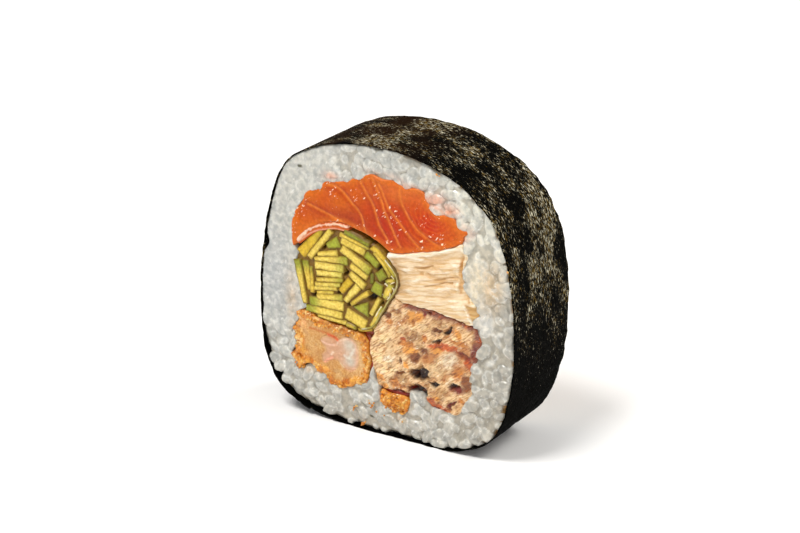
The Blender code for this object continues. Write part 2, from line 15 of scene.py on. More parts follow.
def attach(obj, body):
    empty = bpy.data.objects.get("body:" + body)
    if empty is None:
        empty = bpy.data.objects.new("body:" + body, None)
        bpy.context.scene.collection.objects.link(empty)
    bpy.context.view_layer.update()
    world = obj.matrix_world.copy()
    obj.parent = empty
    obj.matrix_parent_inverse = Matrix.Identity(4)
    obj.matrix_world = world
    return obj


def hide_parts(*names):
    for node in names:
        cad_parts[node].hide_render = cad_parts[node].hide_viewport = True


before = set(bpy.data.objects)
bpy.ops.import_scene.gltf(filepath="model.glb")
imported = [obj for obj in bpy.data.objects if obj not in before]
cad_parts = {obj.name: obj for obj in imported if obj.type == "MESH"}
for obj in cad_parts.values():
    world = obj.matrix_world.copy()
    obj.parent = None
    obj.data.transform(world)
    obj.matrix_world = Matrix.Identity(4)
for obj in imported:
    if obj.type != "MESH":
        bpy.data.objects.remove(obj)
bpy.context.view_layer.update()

MM = 0.001

# The two cuts. The knife drifted, so the back one bows out at mid height and draws in near the bottom.
FRONT_CUT = -11.55
BACK_CUT = 10.45
BACK_BOW = 1.1
BACK_BOW_HEIGHT = 37.0
BACK_BOW_SPREAD = 15.0
BACK_TUCK = 1.6
BACK_TUCK_HEIGHT = 15.0

# The wrapper.
SHEET = 0.22
GAP = 0.32
TUCK = 0.25
INNER_END_HEIGHT = 8.5
OUTER_END_X = -18.4
TUCK_BLEND = 5.0
POCKET = (-18.0, -9.5)
POCKET_DEPTH = 0.5

# Half of the gap left between two fillings that touch.
SNUG = 0.05

ROLL_MIDDLE = (0.5, 31.0)

# How many places are looked up in an outline at a time.
INSIDE_LOT = 4000

ROLL_OUTLINE = (
    (-8.0, 0.0), (-13.0, 0.4), (-18.3, 1.3), (-23.0, 3.3), (-26.6, 6.4), (-29.0, 10.8), (-30.2, 15.6),
    (-30.5, 26.0), (-29.6, 36.4), (-27.4, 46.8), (-25.2, 52.8), (-22.3, 56.7), (-17.0, 59.6), (-11.5, 61.4),
    (-5.0, 62.3), (-0.7, 62.4), (5.0, 62.0), (9.6, 61.1), (14.6, 59.3), (18.5, 57.4), (22.4, 54.3),
    (25.3, 51.2), (27.2, 47.2), (28.7, 43.1), (30.2, 33.9), (30.6, 24.2), (30.2, 17.4), (29.4, 13.6),
    (28.1, 8.9), (25.0, 4.2), (20.2, 1.5), (14.0, 0.0), (3.0, 0.0),
)
SALMON_OUTLINE = (
    (-22.3, 37.3), (-22.4, 42.3), (-21.5, 45.8), (-19.8, 48.5), (-17.7, 50.4), (-15.4, 51.3), (-13.9, 52.9),
    (-10.1, 53.5), (-7.7, 54.4), (-4.8, 55.6), (-2.8, 56.3), (-0.3, 55.7), (2.2, 55.9), (4.9, 54.9),
    (7.5, 55.2), (9.4, 54.5), (10.2, 52.7), (11.8, 51.3), (13.4, 50.8), (15.1, 51.0), (16.6, 50.3),
    (17.7, 48.8), (20.0, 48.3), (18.6, 47.0), (18.1, 45.5), (15.2, 44.0), (12.2, 42.8), (9.3, 41.9),
    (6.3, 41.2), (3.8, 40.6), (1.3, 40.5), (-1.9, 42.2), (-4.3, 43.2), (-8.6, 44.3), (-11.3, 44.5),
    (-14.3, 43.7), (-17.2, 42.2), (-19.8, 40.2), (-21.4, 37.9),
)
CHEESE_OUTLINE = (
    (0.9, 39.2), (2.6, 40.1), (5.1, 40.7), (7.4, 41.1), (10.8, 41.9), (13.7, 42.8), (16.9, 44.0),
    (18.4, 44.9), (19.6, 42.9), (19.1, 41.3), (18.6, 39.8), (18.7, 38.0), (19.3, 36.0), (20.2, 34.4),
    (22.4, 32.1), (21.7, 30.0), (20.0, 28.8), (17.9, 29.4), (15.0, 30.0), (10.0, 30.4), (7.4, 30.6),
    (3.0, 30.9), (4.1, 33.5), (4.0, 35.3), (2.7, 37.3),
)
AVOCADO_OUTLINE = (
    (-21.9, 34.6), (-21.3, 36.2), (-19.4, 39.0), (-17.6, 40.6), (-15.2, 42.2), (-13.0, 42.9),
    (-10.5, 43.1), (-8.7, 43.3), (-6.0, 42.7), (-3.7, 41.5), (-2.0, 41.0), (0.0, 39.9), (1.5, 38.4),
    (2.9, 36.6), (3.5, 35.1), (3.5, 33.5), (2.5, 31.2), (1.1, 29.0), (0.0, 27.1), (-1.6, 24.3),
    (-2.9, 22.8), (-5.2, 22.0), (-7.8, 22.3), (-13.2, 22.6), (-16.2, 23.0), (-18.8, 23.9), (-20.0, 25.7),
    (-21.0, 29.5),
)
BATTER_OUTLINE = (
    (-19.6, 23.7), (-21.6, 22.8), (-21.3, 21.3), (-22.8, 18.9), (-22.1, 17.8), (-22.4, 16.0),
    (-22.1, 14.4), (-22.9, 13.0), (-21.8, 11.2), (-21.2, 9.8), (-19.9, 11.1), (-18.6, 11.7),
    (-17.0, 10.8), (-16.2, 9.5), (-15.0, 10.1), (-12.9, 8.0), (-10.0, 7.8), (-8.8, 8.5), (-7.1, 9.4),
    (-5.2, 9.9), (-4.0, 10.6), (-3.7, 12.4), (-3.3, 15.0), (-3.5, 17.0), (-4.1, 19.4), (-5.1, 21.2),
    (-9.7, 21.9), (-15.1, 22.1), (-17.6, 22.9),
)
PRAWN_OUTLINE = (
    (-15.6, 17.7), (-14.0, 19.0), (-11.5, 18.7), (-9.7, 19.6), (-8.0, 19.7), (-6.7, 18.7), (-6.2, 17.0),
    (-6.2, 15.0), (-6.6, 13.3), (-8.3, 12.5), (-10.1, 12.9), (-11.5, 14.0), (-13.2, 13.6), (-15.0, 13.0),
    (-15.3, 14.4), (-14.4, 16.0),
)
EEL_OUTLINE = (
    (2.4, 30.1), (5.0, 30.4), (10.0, 30.1), (14.5, 29.7), (17.3, 29.1), (19.8, 28.4), (21.4, 28.6),
    (22.6, 26.4), (22.9, 25.0), (22.2, 22.8), (21.5, 20.0), (20.9, 19.1), (20.7, 16.1), (20.7, 13.2),
    (18.9, 10.0), (17.3, 8.3), (14.5, 8.2), (11.6, 8.4), (9.8, 10.4), (8.0, 10.8), (5.6, 10.4),
    (3.0, 10.2), (-1.4, 10.6), (-2.3, 13.5), (-3.0, 16.3), (-3.7, 19.4), (-2.9, 21.3), (-1.7, 23.2),
    (-0.4, 25.4), (0.9, 27.7),
)
CRUMBS_OUTLINE = (
    (-0.7, 9.9), (-1.0, 8.3), (-0.6, 6.5), (1.0, 5.4), (3.1, 5.0), (5.0, 5.7), (5.9, 7.4), (5.7, 9.3),
    (3.6, 9.6), (1.4, 9.5),
)

# Cut avocado: the middles of its two ends, their widths, how green they are, how deep the yellow is, and the bend.
AVOCADO_PIECES = (
    (-20.2, 35.9, -14.9, 42.2, 2.5, 1.1, 0.0, 0.5, 1.0, 0.0),
    (-18.1, 35.6, -12.6, 42.5, 1.25, 1.35, 0.0, 0.1, 0.3, 0.0),
    (-13.8, 38.9, -10.7, 40.3, 1.1, 2.5, 1.0, 1.0, 0.0, 0.0),
    (-9.3, 42.9, -3.4, 41.1, 0.9, 0.8, 0.9, 0.9, 0.6, 0.0),
    (-10.5, 42.1, -3.5, 40.3, 0.95, 0.75, 0.0, 0.4, 0.5, 0.0),
    (-10.2, 40.9, -4.5, 39.2, 1.6, 1.6, 0.0, 0.1, 0.4, 0.0),
    (-10.1, 39.2, -3.1, 35.5, 1.65, 1.9, 0.0, 0.8, 0.3, 0.0),
    (-16.1, 36.7, -11.1, 37.8, 0.9, 1.4, 0.0, 0.1, 0.3, 0.0),
    (-16.9, 35.5, -8.7, 36.6, 0.8, 1.9, 0.0, 0.9, 0.2, 0.0),
    (-16.6, 34.2, -9.6, 34.7, 1.6, 1.6, 0.0, 0.6, 0.0, 0.0),
    (-16.4, 32.5, -10.0, 33.3, 1.3, 1.3, 0.0, 0.4, 0.0, 0.0),
    (-16.3, 31.1, -9.8, 32.2, 0.85, 0.95, 0.0, 0.6, 0.2, 0.0),
    (-16.8, 29.9, -10.5, 31.0, 1.0, 1.1, 0.0, 0.4, 0.1, 0.0),
    (-17.0, 29.0, -11.3, 30.0, 0.9, 0.9, 0.0, 0.2, 0.1, 0.0),
    (-16.4, 28.2, -12.2, 28.9, 0.8, 0.8, 0.0, 0.1, 0.5, 0.0),
    (-16.4, 27.2, -10.0, 28.2, 1.2, 1.3, 0.0, 0.6, 0.3, 0.0),
    (-18.3, 25.9, -9.8, 26.3, 1.9, 2.1, 1.0, 0.0, 0.2, 0.0),
    (-19.2, 24.2, -10.1, 24.2, 1.4, 1.6, 1.0, 0.0, 0.2, 0.0),
    (-16.3, 23.0, -9.1, 22.8, 0.7, 0.9, 0.0, 0.1, 0.1, 0.0),
    (-21.1, 34.6, -19.2, 25.2, 1.7, 1.1, 1.0, 0.0, 0.3, 0.0),
    (-19.15, 34.7, -18.1, 28.4, 1.7, 1.0, 1.0, 0.0, 0.6, 0.0),
    (-17.7, 33.6, -17.4, 27.9, 0.75, 1.1, 0.8, 0.0, 0.7, 0.0),
    (-7.9, 35.9, -3.9, 33.9, 1.5, 1.3, 0.0, 0.1, 0.3, 0.0),
    (-8.1, 34.1, -4.5, 31.8, 1.4, 1.7, 0.0, 0.1, 0.2, 0.0),
    (-10.4, 29.6, -7.9, 32.6, 1.3, 1.6, 0.0, 0.0, 1.0, 0.0),
    (-9.3, 27.7, -6.1, 31.7, 1.2, 1.7, 0.0, 0.0, 0.0, 0.0),
    (-7.8, 27.4, -3.6, 30.8, 0.8, 1.1, 0.2, 0.0, 0.6, 0.0),
    (-7.2, 26.9, -3.7, 27.0, 0.4, 3.3, 1.0, 1.0, 0.3, 0.0),
    (-9.2, 25.1, -4.3, 23.3, 2.6, 2.4, 0.0, 0.0, 0.4, 0.0),
    (-9.1, 22.7, -6.7, 22.2, 0.8, 0.7, 0.5, 0.9, 0.5, 0.0),
    (-6.3, 21.9, -2.9, 22.7, 0.6, 0.6, 0.2, 0.2, 0.7, 0.03),
    (-2.5, 41.1, 3.0, 35.6, 1.5, 0.9, 0.0, 0.6, 0.8, -0.04),
    (-2.0, 39.9, 1.8, 35.5, 0.9, 0.9, 0.1, 0.5, 0.5, -0.04),
    (-4.35, 38.95, -1.4, 37.05, 1.7, 1.6, 1.0, 1.0, 0.2, 0.0),
    (-1.2, 35.95, 0.05, 34.4, 2.1, 2.3, 1.0, 1.0, 0.6, 0.0),
    (-1.05, 33.3, -1.8, 30.9, 2.1, 2.7, 1.0, 1.0, 0.2, 0.0),
    (-2.75, 35.1, -2.9, 32.8, 0.8, 0.8, 1.0, 1.0, 1.0, 0.0),
    (-3.0, 26.1, -0.9, 30.1, 0.9, 0.9, 0.0, 0.0, 0.2, 0.0),
    (-2.9, 23.3, -0.5, 28.3, 1.3, 1.1, 0.0, 0.8, 0.4, 0.0),
    (0.3, 30.3, 1.9, 33.8, 1.2, 1.5, 0.5, 0.7, 0.4, 0.0),
    (0.4, 33.8, 2.7, 34.9, 0.9, 0.9, 0.9, 0.6, 0.4, 0.0),
)

# Patches on the cut eel: x, z, half length, half width, slant, shade and how far they lie back.
EEL_SHADES = {
    "white": (255, 234, 200), "pale": (244, 208, 156), "gold": (236, 164, 72), "tan": (202, 158, 104),
    "caramel": (204, 130, 54), "brown": (138, 78, 30), "orange": (206, 96, 26), "red": (136, 36, 12),
    # The darkest shade is painted shadow, for the pits and creases that lie far back.
    "crease_shadow": (46, 20, 10),
}
EEL_PATCHES = (
    (7.3, 27.6, 2.6, 1.6, 20, "gold", -0.05), (9.2, 26.0, 2.3, 1.3, 15, "pale", -0.15),
    (13.0, 27.5, 2.2, 1.2, 15, "tan", 0.0), (14.6, 28.0, 0.9, 0.6, 20, "pale", -0.15),
    (17.2, 26.2, 0.9, 1.4, 10, "gold", -0.05), (10.9, 29.3, 0.6, 0.5, 20, "crease_shadow", 0.7),
    (9.5, 28.8, 0.8, 0.7, 35, "red", 0.3), (3.1, 27.5, 1.1, 1.5, 10, "tan", 0.15),
    (1.0, 26.6, 1.1, 1.0, 50, "brown", 0.4), (1.0, 25.2, 1.1, 0.8, 30, "caramel", 0.1),
    (14.8, 26.2, 1.6, 0.45, 40, "crease_shadow", 0.8), (12.4, 25.4, 1.4, 0.6, 20, "brown", 0.5),
    (17.8, 24.1, 2.8, 1.1, -14, "caramel", 0.0), (16.4, 25.0, 1.3, 0.6, -10, "pale", -0.15),
    (6.9, 23.5, 3.1, 1.5, -4, "tan", -0.1), (4.0, 24.2, 1.0, 0.7, 20, "pale", -0.15),
    (9.8, 23.3, 0.7, 1.0, 10, "caramel", 0.1), (12.4, 23.4, 1.2, 0.5, 8, "crease_shadow", 1.2),
    (5.2, 21.4, 2.4, 0.8, 8, "caramel", 0.2), (4.4, 22.2, 1.0, 0.5, 20, "orange", 0.2),
    (8.6, 21.4, 1.6, 0.9, 30, "tan", 0.0), (6.4, 20.1, 2.4, 1.2, 10, "gold", 0.1),
    (7.2, 18.8, 1.7, 1.0, 25, "brown", 0.4), (9.7, 20.6, 1.2, 0.9, 30, "brown", 0.3),
    (13.0, 22.4, 2.8, 0.9, 14, "orange", 0.1), (12.2, 21.3, 1.4, 0.8, 20, "gold", -0.05),
    (15.8, 22.4, 2.0, 0.9, -8, "orange", 0.05), (18.8, 21.4, 2.0, 1.0, -25, "red", 0.25),
    (19.6, 19.9, 1.4, 1.0, -30, "orange", 0.05), (20.9, 22.8, 1.0, 2.4, -10, "red", 0.2),
    (15.2, 19.8, 2.6, 1.7, 35, "white", -0.2), (12.4, 17.6, 3.2, 1.9, 45, "pale", -0.2),
    (17.3, 18.0, 1.7, 1.4, 40, "caramel", 0.05), (19.4, 15.9, 1.5, 2.4, 10, "brown", 0.15),
    (17.4, 16.6, 1.3, 0.7, 20, "caramel", 0.1), (0.0, 21.6, 3.3, 2.6, 40, "pale", -0.1),
    (-0.9, 17.0, 2.0, 2.4, 70, "pale", -0.1), (3.4, 18.8, 1.4, 0.9, 20, "tan", 0.05),
    # The white strip at x 1.0, z 17.2 is a painted highlight.
    (1.0, 17.2, 1.4, 0.6, 15, "white", -0.1), (3.8, 17.0, 0.4, 0.7, 15, "brown", 0.5),
    (5.2, 16.8, 0.55, 0.8, 0, "gold", -0.1), (8.7, 15.5, 2.3, 1.7, 0, "crease_shadow", 1.3),
    (6.8, 15.2, 1.0, 1.3, 20, "crease_shadow", 1.2), (8.4, 17.1, 1.2, 0.6, 40, "tan", 0.4),
    (1.0, 15.0, 2.9, 1.3, 10, "pale", -0.05), (3.8, 14.6, 1.5, 0.4, 8, "brown", 0.4),
    (4.4, 13.6, 1.2, 1.0, -10, "tan", -0.1), (2.4, 12.6, 1.6, 0.9, 40, "caramel", 0.2),
    (3.4, 11.6, 2.0, 0.8, 20, "caramel", 0.25), (4.6, 12.6, 1.0, 0.5, 40, "pale", -0.1),
    (0.2, 10.9, 1.0, 0.8, 0, "gold", 0.1), (-1.0, 12.8, 0.9, 1.4, 80, "gold", 0.1),
    (3.6, 10.3, 2.4, 0.6, -8, "red", 0.5), (8.0, 11.2, 2.5, 1.7, 5, "crease_shadow", 1.3),
    (6.2, 11.4, 0.9, 1.0, 0, "red", 0.9), (10.2, 13.0, 0.8, 1.4, -30, "tan", 0.1),
    (11.8, 14.0, 1.4, 0.4, -6, "crease_shadow", 0.9), (17.2, 13.9, 2.0, 1.1, 5, "red", 0.6),
    (16.6, 14.4, 1.2, 0.6, 20, "crease_shadow", 0.8), (13.0, 12.2, 2.6, 1.5, 10, "tan", -0.05),
    (12.2, 11.0, 1.6, 0.7, 20, "gold", -0.05), (15.2, 11.8, 1.7, 1.0, 25, "pale", -0.15),
    (11.0, 10.0, 1.0, 1.2, 20, "orange", 0.1), (13.0, 8.9, 2.8, 0.9, 0, "orange", 0.1),
    (12.2, 8.4, 2.0, 0.5, 0, "red", 0.2), (16.2, 10.4, 1.7, 0.5, 42, "red", 0.5),
    (17.8, 9.8, 1.3, 1.0, 40, "tan", 0.1), (18.4, 11.6, 1.0, 0.8, 30, "caramel", 0.1),
)
# Painted glints on the eel: x, z and half length.
EEL_FLECKS = (
    (3.2, 25.2, 1.9), (8.2, 17.5, 0.8), (6.7, 17.8, 0.5), (1.0, 17.6, 0.9), (0.4, 17.1, 0.6), (2.1, 17.4, 0.5),
    (16.1, 14.8, 0.5), (12.6, 16.0, 0.6), (13.4, 19.2, 0.8), (14.0, 18.4, 0.7), (8.1, 21.6, 0.8),
    (7.2, 21.0, 0.6), (7.4, 13.0, 0.5), (9.4, 13.2, 0.5), (9.2, 15.4, 0.3), (3.0, 15.4, 0.6),
    (12.8, 28.6, 0.4), (14.2, 27.6, 0.4), (7.4, 29.2, 0.3), (2.8, 28.4, 0.6), (19.0, 24.2, 0.3),
    (2.6, 11.2, 0.4), (3.6, 11.0, 0.3), (16.0, 10.6, 0.4), (17.4, 9.2, 0.5), (4.4, 12.9, 0.6),
)

# Pale fat lines in the salmon, from its top to its lower edge.
FAT_LINES = (
    ((-18.2, 47.3), (-14.0, 46.0), (-10.1, 45.0)),
    ((-13.4, 52.2), (-10.7, 51.9), (-7.8, 49.7), (-5.4, 47.3), (-4.8, 45.6), (-4.2, 43.6)),
    ((-5.9, 55.0), (-3.7, 51.7), (-2.2, 49.1), (-1.2, 46.2), (-0.1, 44.4), (1.2, 42.4)),
    ((-2.7, 55.6), (-0.7, 51.4), (0.7, 48.2), (2.2, 45.3), (4.0, 42.1)),
    ((-1.2, 54.6), (1.3, 49.7), (4.3, 46.7), (7.5, 43.5), (9.0, 42.2)),
    ((3.6, 54.6), (4.4, 51.0), (6.8, 47.6), (10.0, 45.2), (13.0, 44.0)),
)
# The pale skin along the salmon's lower left edge.
MEMBRANE_LINE = (
    (-21.4, 38.9), (-20.2, 39.9), (-17.7, 41.9), (-15.5, 43.0), (-13.2, 43.7), (-11.4, 44.1), (-8.4, 44.0),
)
# Wet glints on the salmon: x, z and half length.
SALMON_FLECKS = (
    (-12.6, 50.4, 0.5), (-12.2, 51.2, 0.7), (-11.6, 51.9, 0.6), (-11.3, 50.1, 0.3), (-18.4, 48.2, 0.4),
    (-18.6, 47.4, 0.4), (-19.6, 46.6, 0.4), (-20.8, 45.9, 0.3), (-17.0, 49.0, 0.3), (-2.4, 53.6, 0.4),
    (-1.6, 52.3, 0.4), (-1.2, 51.6, 0.3), (-4.4, 50.9, 0.3), (1.6, 50.2, 0.4), (2.7, 49.5, 0.3),
    (-1.5, 49.0, 0.4), (1.9, 48.0, 0.5), (0.3, 47.7, 0.4), (3.2, 47.0, 0.3), (10.9, 45.9, 0.4),
    (11.8, 46.1, 0.3), (12.6, 45.8, 0.5), (13.8, 46.7, 0.5), (7.6, 50.8, 0.3), (4.1, 45.8, 0.3),
    (5.2, 45.8, 0.3), (4.7, 44.4, 0.4), (13.8, 44.7, 0.6), (9.0, 44.4, 0.3), (-4.0, 43.4, 0.4),
    (-2.2, 43.4, 0.4), (-3.9, 41.9, 0.5), (0.9, 42.6, 0.4), (1.7, 42.9, 0.5), (8.0, 42.6, 0.6),
    (9.0, 42.8, 0.6), (7.2, 42.0, 0.5), (1.6, 41.2, 0.7), (2.1, 41.6, 0.5), (-22.0, 41.2, 0.3),
    (-21.8, 40.2, 0.3), (-12.4, 44.6, 0.4), (-11.2, 45.0, 0.4), (-4.7, 45.2, 0.4), (-18.9, 45.2, 0.2),
)
# The wet skin round the right of the avocado.
FILM_LINE = (
    (0.6, 39.0), (2.6, 36.9), (3.5, 35.2), (3.5, 33.7), (2.7, 31.8), (1.4, 29.8), (0.4, 28.0),
    (-0.7, 26.1), (-1.8, 24.2), (-3.2, 22.9), (-5.2, 22.2),
)
# Raised scraps of that skin beside it, coloured pale as painted highlights.
FILM_GLINT_SCRAPS = (
    ((0.3, 33.6), (1.2, 33.2), (1.9, 33.9), (2.5, 34.3)), ((0.9, 32.9), (1.5, 32.0), (1.5, 31.0), (0.9, 30.2)),
    ((-0.2, 31.2), (0.3, 30.6), (1.1, 30.9)), ((2.1, 33.2), (2.5, 32.4), (2.2, 31.6)), ((1.9, 35.6), (2.5, 35.0)),
    ((-1.9, 25.9), (-1.2, 27.3), (-0.5, 28.4)),
)
# Hollows between the pieces of avocado, painted near black as shadow: x, z and size.
AVOCADO_VOIDS = (
    (-1.0, 36.7, 1.0), (0.1, 34.0, 0.7), (-3.0, 30.3, 1.2), (-17.2, 27.7, 0.7), (-8.7, 27.3, 0.6),
    (-11.0, 29.4, 0.6), (-9.3, 34.0, 0.6), (-14.7, 38.9, 0.7), (-4.2, 36.6, 0.5), (-0.6, 29.3, 0.5),
)
STICK_GROWTH = 0.16
# Creases dragged into the cream cheese.
CHEESE_CREASES = (
    ((9.8, 34.9), (12.6, 35.7), (14.2, 36.6), (16.0, 36.9)), ((12.2, 36.6), (15.0, 37.7), (17.4, 38.4)),
    ((18.5, 43.0), (18.1, 40.6), (18.5, 38.6), (19.0, 36.2), (20.0, 33.6)), ((7.4, 38.4), (9.6, 38.7), (11.4, 39.6)),
)
# Crumbs that lie loose on the front: x, z and size.
LOOSE_CRUMBS = (
    (-7.2, 4.4, 0.6), (-6.8, 4.8, 0.5), (-7.4, 3.8, 0.4), (-6.4, 4.9, 0.35), (-3.3, 6.3, 0.6), (-2.7, 5.9, 0.5),
    (-3.5, 6.9, 0.4), (-2.3, 6.6, 0.4), (-3.0, 5.4, 0.4), (-5.0, 1.3, 0.9), (-4.5, 1.7, 0.5), (-5.3, 0.9, 0.4),
    (-1.7, 4.8, 0.45), (12.5, 59.0, 0.5), (13.1, 58.8, 0.35), (28.7, 41.9, 0.4), (0.2, 4.4, 0.4), (4.6, 4.0, 0.35),
)

# Folds of the prawn: their line, colour, strength and width.
PRAWN_LINES = (
    (((-18.4, 19.8), (-15.0, 19.6), (-13.0, 19.2), (-11.2, 18.4)), (206, 110, 46), 0.7, 0.25),
    (((-13.6, 19.3), (-12.2, 19.1), (-11.2, 18.5)), (222, 88, 40), 0.9, 0.3),
    (((-15.4, 17.5), (-13.8, 17.1), (-12.2, 17.3)), (246, 210, 186), 0.7, 0.18),
    (((-11.6, 17.5), (-11.0, 18.4), (-10.0, 18.9), (-8.8, 19.4)), (246, 220, 196), 0.7, 0.2),
    (((-14.6, 13.0), (-13.6, 13.8), (-12.7, 14.4)), (248, 176, 150), 0.9, 0.28),
    (((-12.9, 15.0), (-12.5, 15.6)), (250, 230, 206), 0.8, 0.22),
    (((-9.6, 15.4), (-8.8, 15.0), (-8.0, 16.0), (-7.4, 17.2)), (240, 238, 226), 0.7, 0.3),
    (((-10.8, 13.4), (-10.0, 12.8)), (248, 224, 180), 0.8, 0.3),
    (((-9.6, 12.6), (-8.4, 12.3), (-7.2, 12.9)), (240, 190, 160), 0.7, 0.25),
)

# Where sauce fills the gaps between the fillings: its colour, then its line.
SAUCE_SEAMS = (
    ((170, 62, 22), (-4.6, 21.2), (-3.6, 19.4), (-3.1, 16.8), (-3.2, 14.0), (-2.6, 11.8), (-2.2, 10.4)),
    ((150, 52, 22), (-5.2, 21.9), (-3.6, 21.7), (-2.7, 22.3)),
    ((140, 36, 14), (-0.6, 10.2), (2.2, 9.9), (4.8, 9.8), (6.0, 10.3)),
    ((206, 140, 64), (-5.0, 9.6), (-3.0, 9.8), (-1.0, 9.2)),
)
SAUCE_WIDTH = 0.9
SAUCE_RECESS = 1.0

# Cooked short-grain rice.
GRAIN_LENGTH = 5.3
GRAIN_WIDTH = 2.75
GRAIN_SPACING = 2.05
GRAIN_TRIES = 9000
GRAIN_BLEND = 0.14
# Grains that stand out of the front face: over the salmon's edge, on the wrapper and at its left side.
PROUD_GRAINS = (
    (-12.0, 54.4), (-15.6, 53.2), (5.6, 56.6), (1.6, 57.0), (11.8, 53.6), (14.6, 52.6), (17.0, 51.4), (18.2, 49.2),
    (19.8, 47.0), (-6.8, 56.4), (9.4, 56.4), (23.6, 30.6), (27.4, 41.0), (28.4, 38.0), (27.8, 33.0), (28.8, 28.0),
)

# The camera, at the photograph's viewing angle.
VIEW_AZIMUTH = 32.0
VIEW_ELEVATION = 21.0
VIEW_DISTANCE = 444.8
VIEW_TARGET = (4.13, -11.55, 38.16)
LENS = 100.0


def rgb(red, green, blue):
    """A screen colour, each part from 0 to 255, as the light values that shaders take."""
    parts = np.array((red, green, blue), float) / 255
    return np.where(parts <= 0.04045, parts / 12.92, ((parts + 0.055) / 1.055) ** 2.4)


def ramp(value, low, high):
    """0 below low, 1 above high, and smooth between them."""
    t = np.clip((value - low) / (high - low), 0.0, 1.0)
    return t * t * (3 - 2 * t)


def bump(value, middle, spread):
    """1 at the middle, falling away on both sides."""
    return np.exp(-(((value - middle) / spread) ** 2))


def blob(x, z, middle_x, middle_z, spread_x, spread_z):
    """1 at a place on the face, falling away from it."""
    return bump(x, middle_x, spread_x) * bump(z, middle_z, spread_z)


def mix(first, second, share):
    """Rows of colours between two, by a share for each row."""
    share = np.clip(share, 0.0, 1.0)[:, None]
    return first * (1 - share) + second * share


def corner_value(ix, iy, iz, seed):
    """A repeatable number from -1 to 1 for each whole-numbered corner."""
    mixed = (ix * 374761393 + iy * 668265263 + iz * 1442695041 + seed * 974711) & 0xFFFFFFFF
    mixed = ((mixed ^ (mixed >> 13)) * 1274126177) & 0xFFFFFFFF
    mixed = mixed ^ (mixed >> 16)
    return (mixed & 0xFFFF) / 32767.5 - 1.0


def soft_noise(x, y, z, size, seed=0):
    """Smooth lumps of about this size, from -1 to 1."""
    axes = [np.asarray(axis, float) / size for axis in np.broadcast_arrays(x, y, z)]
    whole = [np.floor(axis).astype(np.int64) for axis in axes]
    part = [axis - base for axis, base in zip(axes, whole)]
    part = [f * f * f * (f * (f * 6 - 15) + 10) for f in part]
    total = 0.0
    for corner in range(8):
        step = (corner & 1, (corner >> 1) & 1, (corner >> 2) & 1)
        weight = 1.0
        for k in range(3):
            weight = weight * (part[k] if step[k] else 1 - part[k])
        total = total + weight * corner_value(whole[0] + step[0], whole[1] + step[1], whole[2] + step[2], seed)
    return total


def rough_noise(x, y, z, size, layers, seed=0):
    """Lumps of several sizes, each layer half the size and height of the one before."""
    total = 0.0
    for layer in range(layers):
        total = total + soft_noise(x, y, z, size / 2**layer, seed + layer) / 2**layer
    return total


def resample(path, step, closed):
    """Points a step apart along a polyline."""
    path = np.asarray(path, float)
    ends = np.vstack([path, path[:1]]) if closed else path
    lengths = np.concatenate([[0.0], np.cumsum(np.linalg.norm(np.diff(ends, axis=0), axis=1))])
    count = max(3, round(lengths[-1] / step))
    at = np.linspace(0.0, lengths[-1], count + 1)
    points = np.stack([np.interp(at, lengths, ends[:, k]) for k in (0, 1)], axis=1)
    return points[:-1] if closed else points


def smooth_loop(outline, step):
    """A closed curve through the outline's points, sampled a step apart."""
    b = np.array(outline, float)
    a, c, d = np.roll(b, 1, axis=0), np.roll(b, -1, axis=0), np.roll(b, -2, axis=0)
    fine = []
    for part in range(8):
        t = part / 8
        bend = (2 * a - 5 * b + 4 * c - d) * t * t + (3 * b - a - 3 * c + d) * t**3
        fine.append(0.5 * (2 * b + (c - a) * t + bend))
    return resample(np.stack(fine, axis=1).reshape(-1, 2), step, True)


def smooth_line(points, step):
    """An open curve through the points, sampled a step apart."""
    b = np.array(points, float)
    padded = np.vstack([2 * b[0] - b[1], b, 2 * b[-1] - b[-2]])
    fine = []
    for i in range(len(b) - 1):
        a, b0, c, d = padded[i : i + 4]
        for part in range(8):
            t = part / 8
            bend = (2 * a - 5 * b0 + 4 * c - d) * t * t + (3 * b0 - a - 3 * c + d) * t**3
            fine.append(0.5 * (2 * b0 + (c - a) * t + bend))
    fine.append(b[-1])
    return resample(fine, step, False)


def roll_loop(step):
    """The wrapper's outer side, lying flat on the surface below it."""
    loop = smooth_loop(ROLL_OUTLINE, step)
    loop[:, 1] = np.maximum(loop[:, 1], 0.0)
    return loop


def inward(loop):
    """Unit vectors from each point of a closed loop to its inside."""
    along = np.roll(loop, -1, axis=0) - np.roll(loop, 1, axis=0)
    along /= np.linalg.norm(along, axis=1)[:, None]
    following = np.roll(loop, -1, axis=0)
    area = np.sum(loop[:, 0] * following[:, 1] - following[:, 0] * loop[:, 1])
    turned = np.stack([-along[:, 1], along[:, 0]], axis=1)
    return turned if area > 0 else -turned


def inset(loop, depth):
    """The loop moved inwards by a depth, or by a depth for each point."""
    return loop + inward(loop) * np.reshape(depth, (-1, 1))


def inside(loop, x, z):
    """Whether the loop goes round each place."""
    following = np.roll(loop, -1, axis=0)
    rise = following[:, 1] - loop[:, 1]
    lean = (following[:, 0] - loop[:, 0]) / np.where(rise == 0, 1.0, rise)
    found = np.zeros(len(x), bool)
    for start in range(0, len(x), INSIDE_LOT):
        px = x[start : start + INSIDE_LOT, None]
        pz = z[start : start + INSIDE_LOT, None]
        spans = (loop[:, 1] > pz) != (following[:, 1] > pz)
        left = px < loop[:, 0] + lean * (pz - loop[:, 1])
        found[start : start + INSIDE_LOT] = np.sum(spans & left, axis=1) % 2 == 1
    return found


def line_distance(x, z, path):
    """How far each place is from a polyline."""
    nearest = np.full(len(x), 1e9)
    for a, b in zip(path, path[1:]):
        a, b = np.array(a), np.array(b)
        way = b - a
        share = np.clip(((x - a[0]) * way[0] + (z - a[1]) * way[1]) / (way @ way), 0.0, 1.0)
        gap = np.hypot(x - a[0] - share * way[0], z - a[1] - share * way[1])
        nearest = np.minimum(nearest, gap)
    return nearest


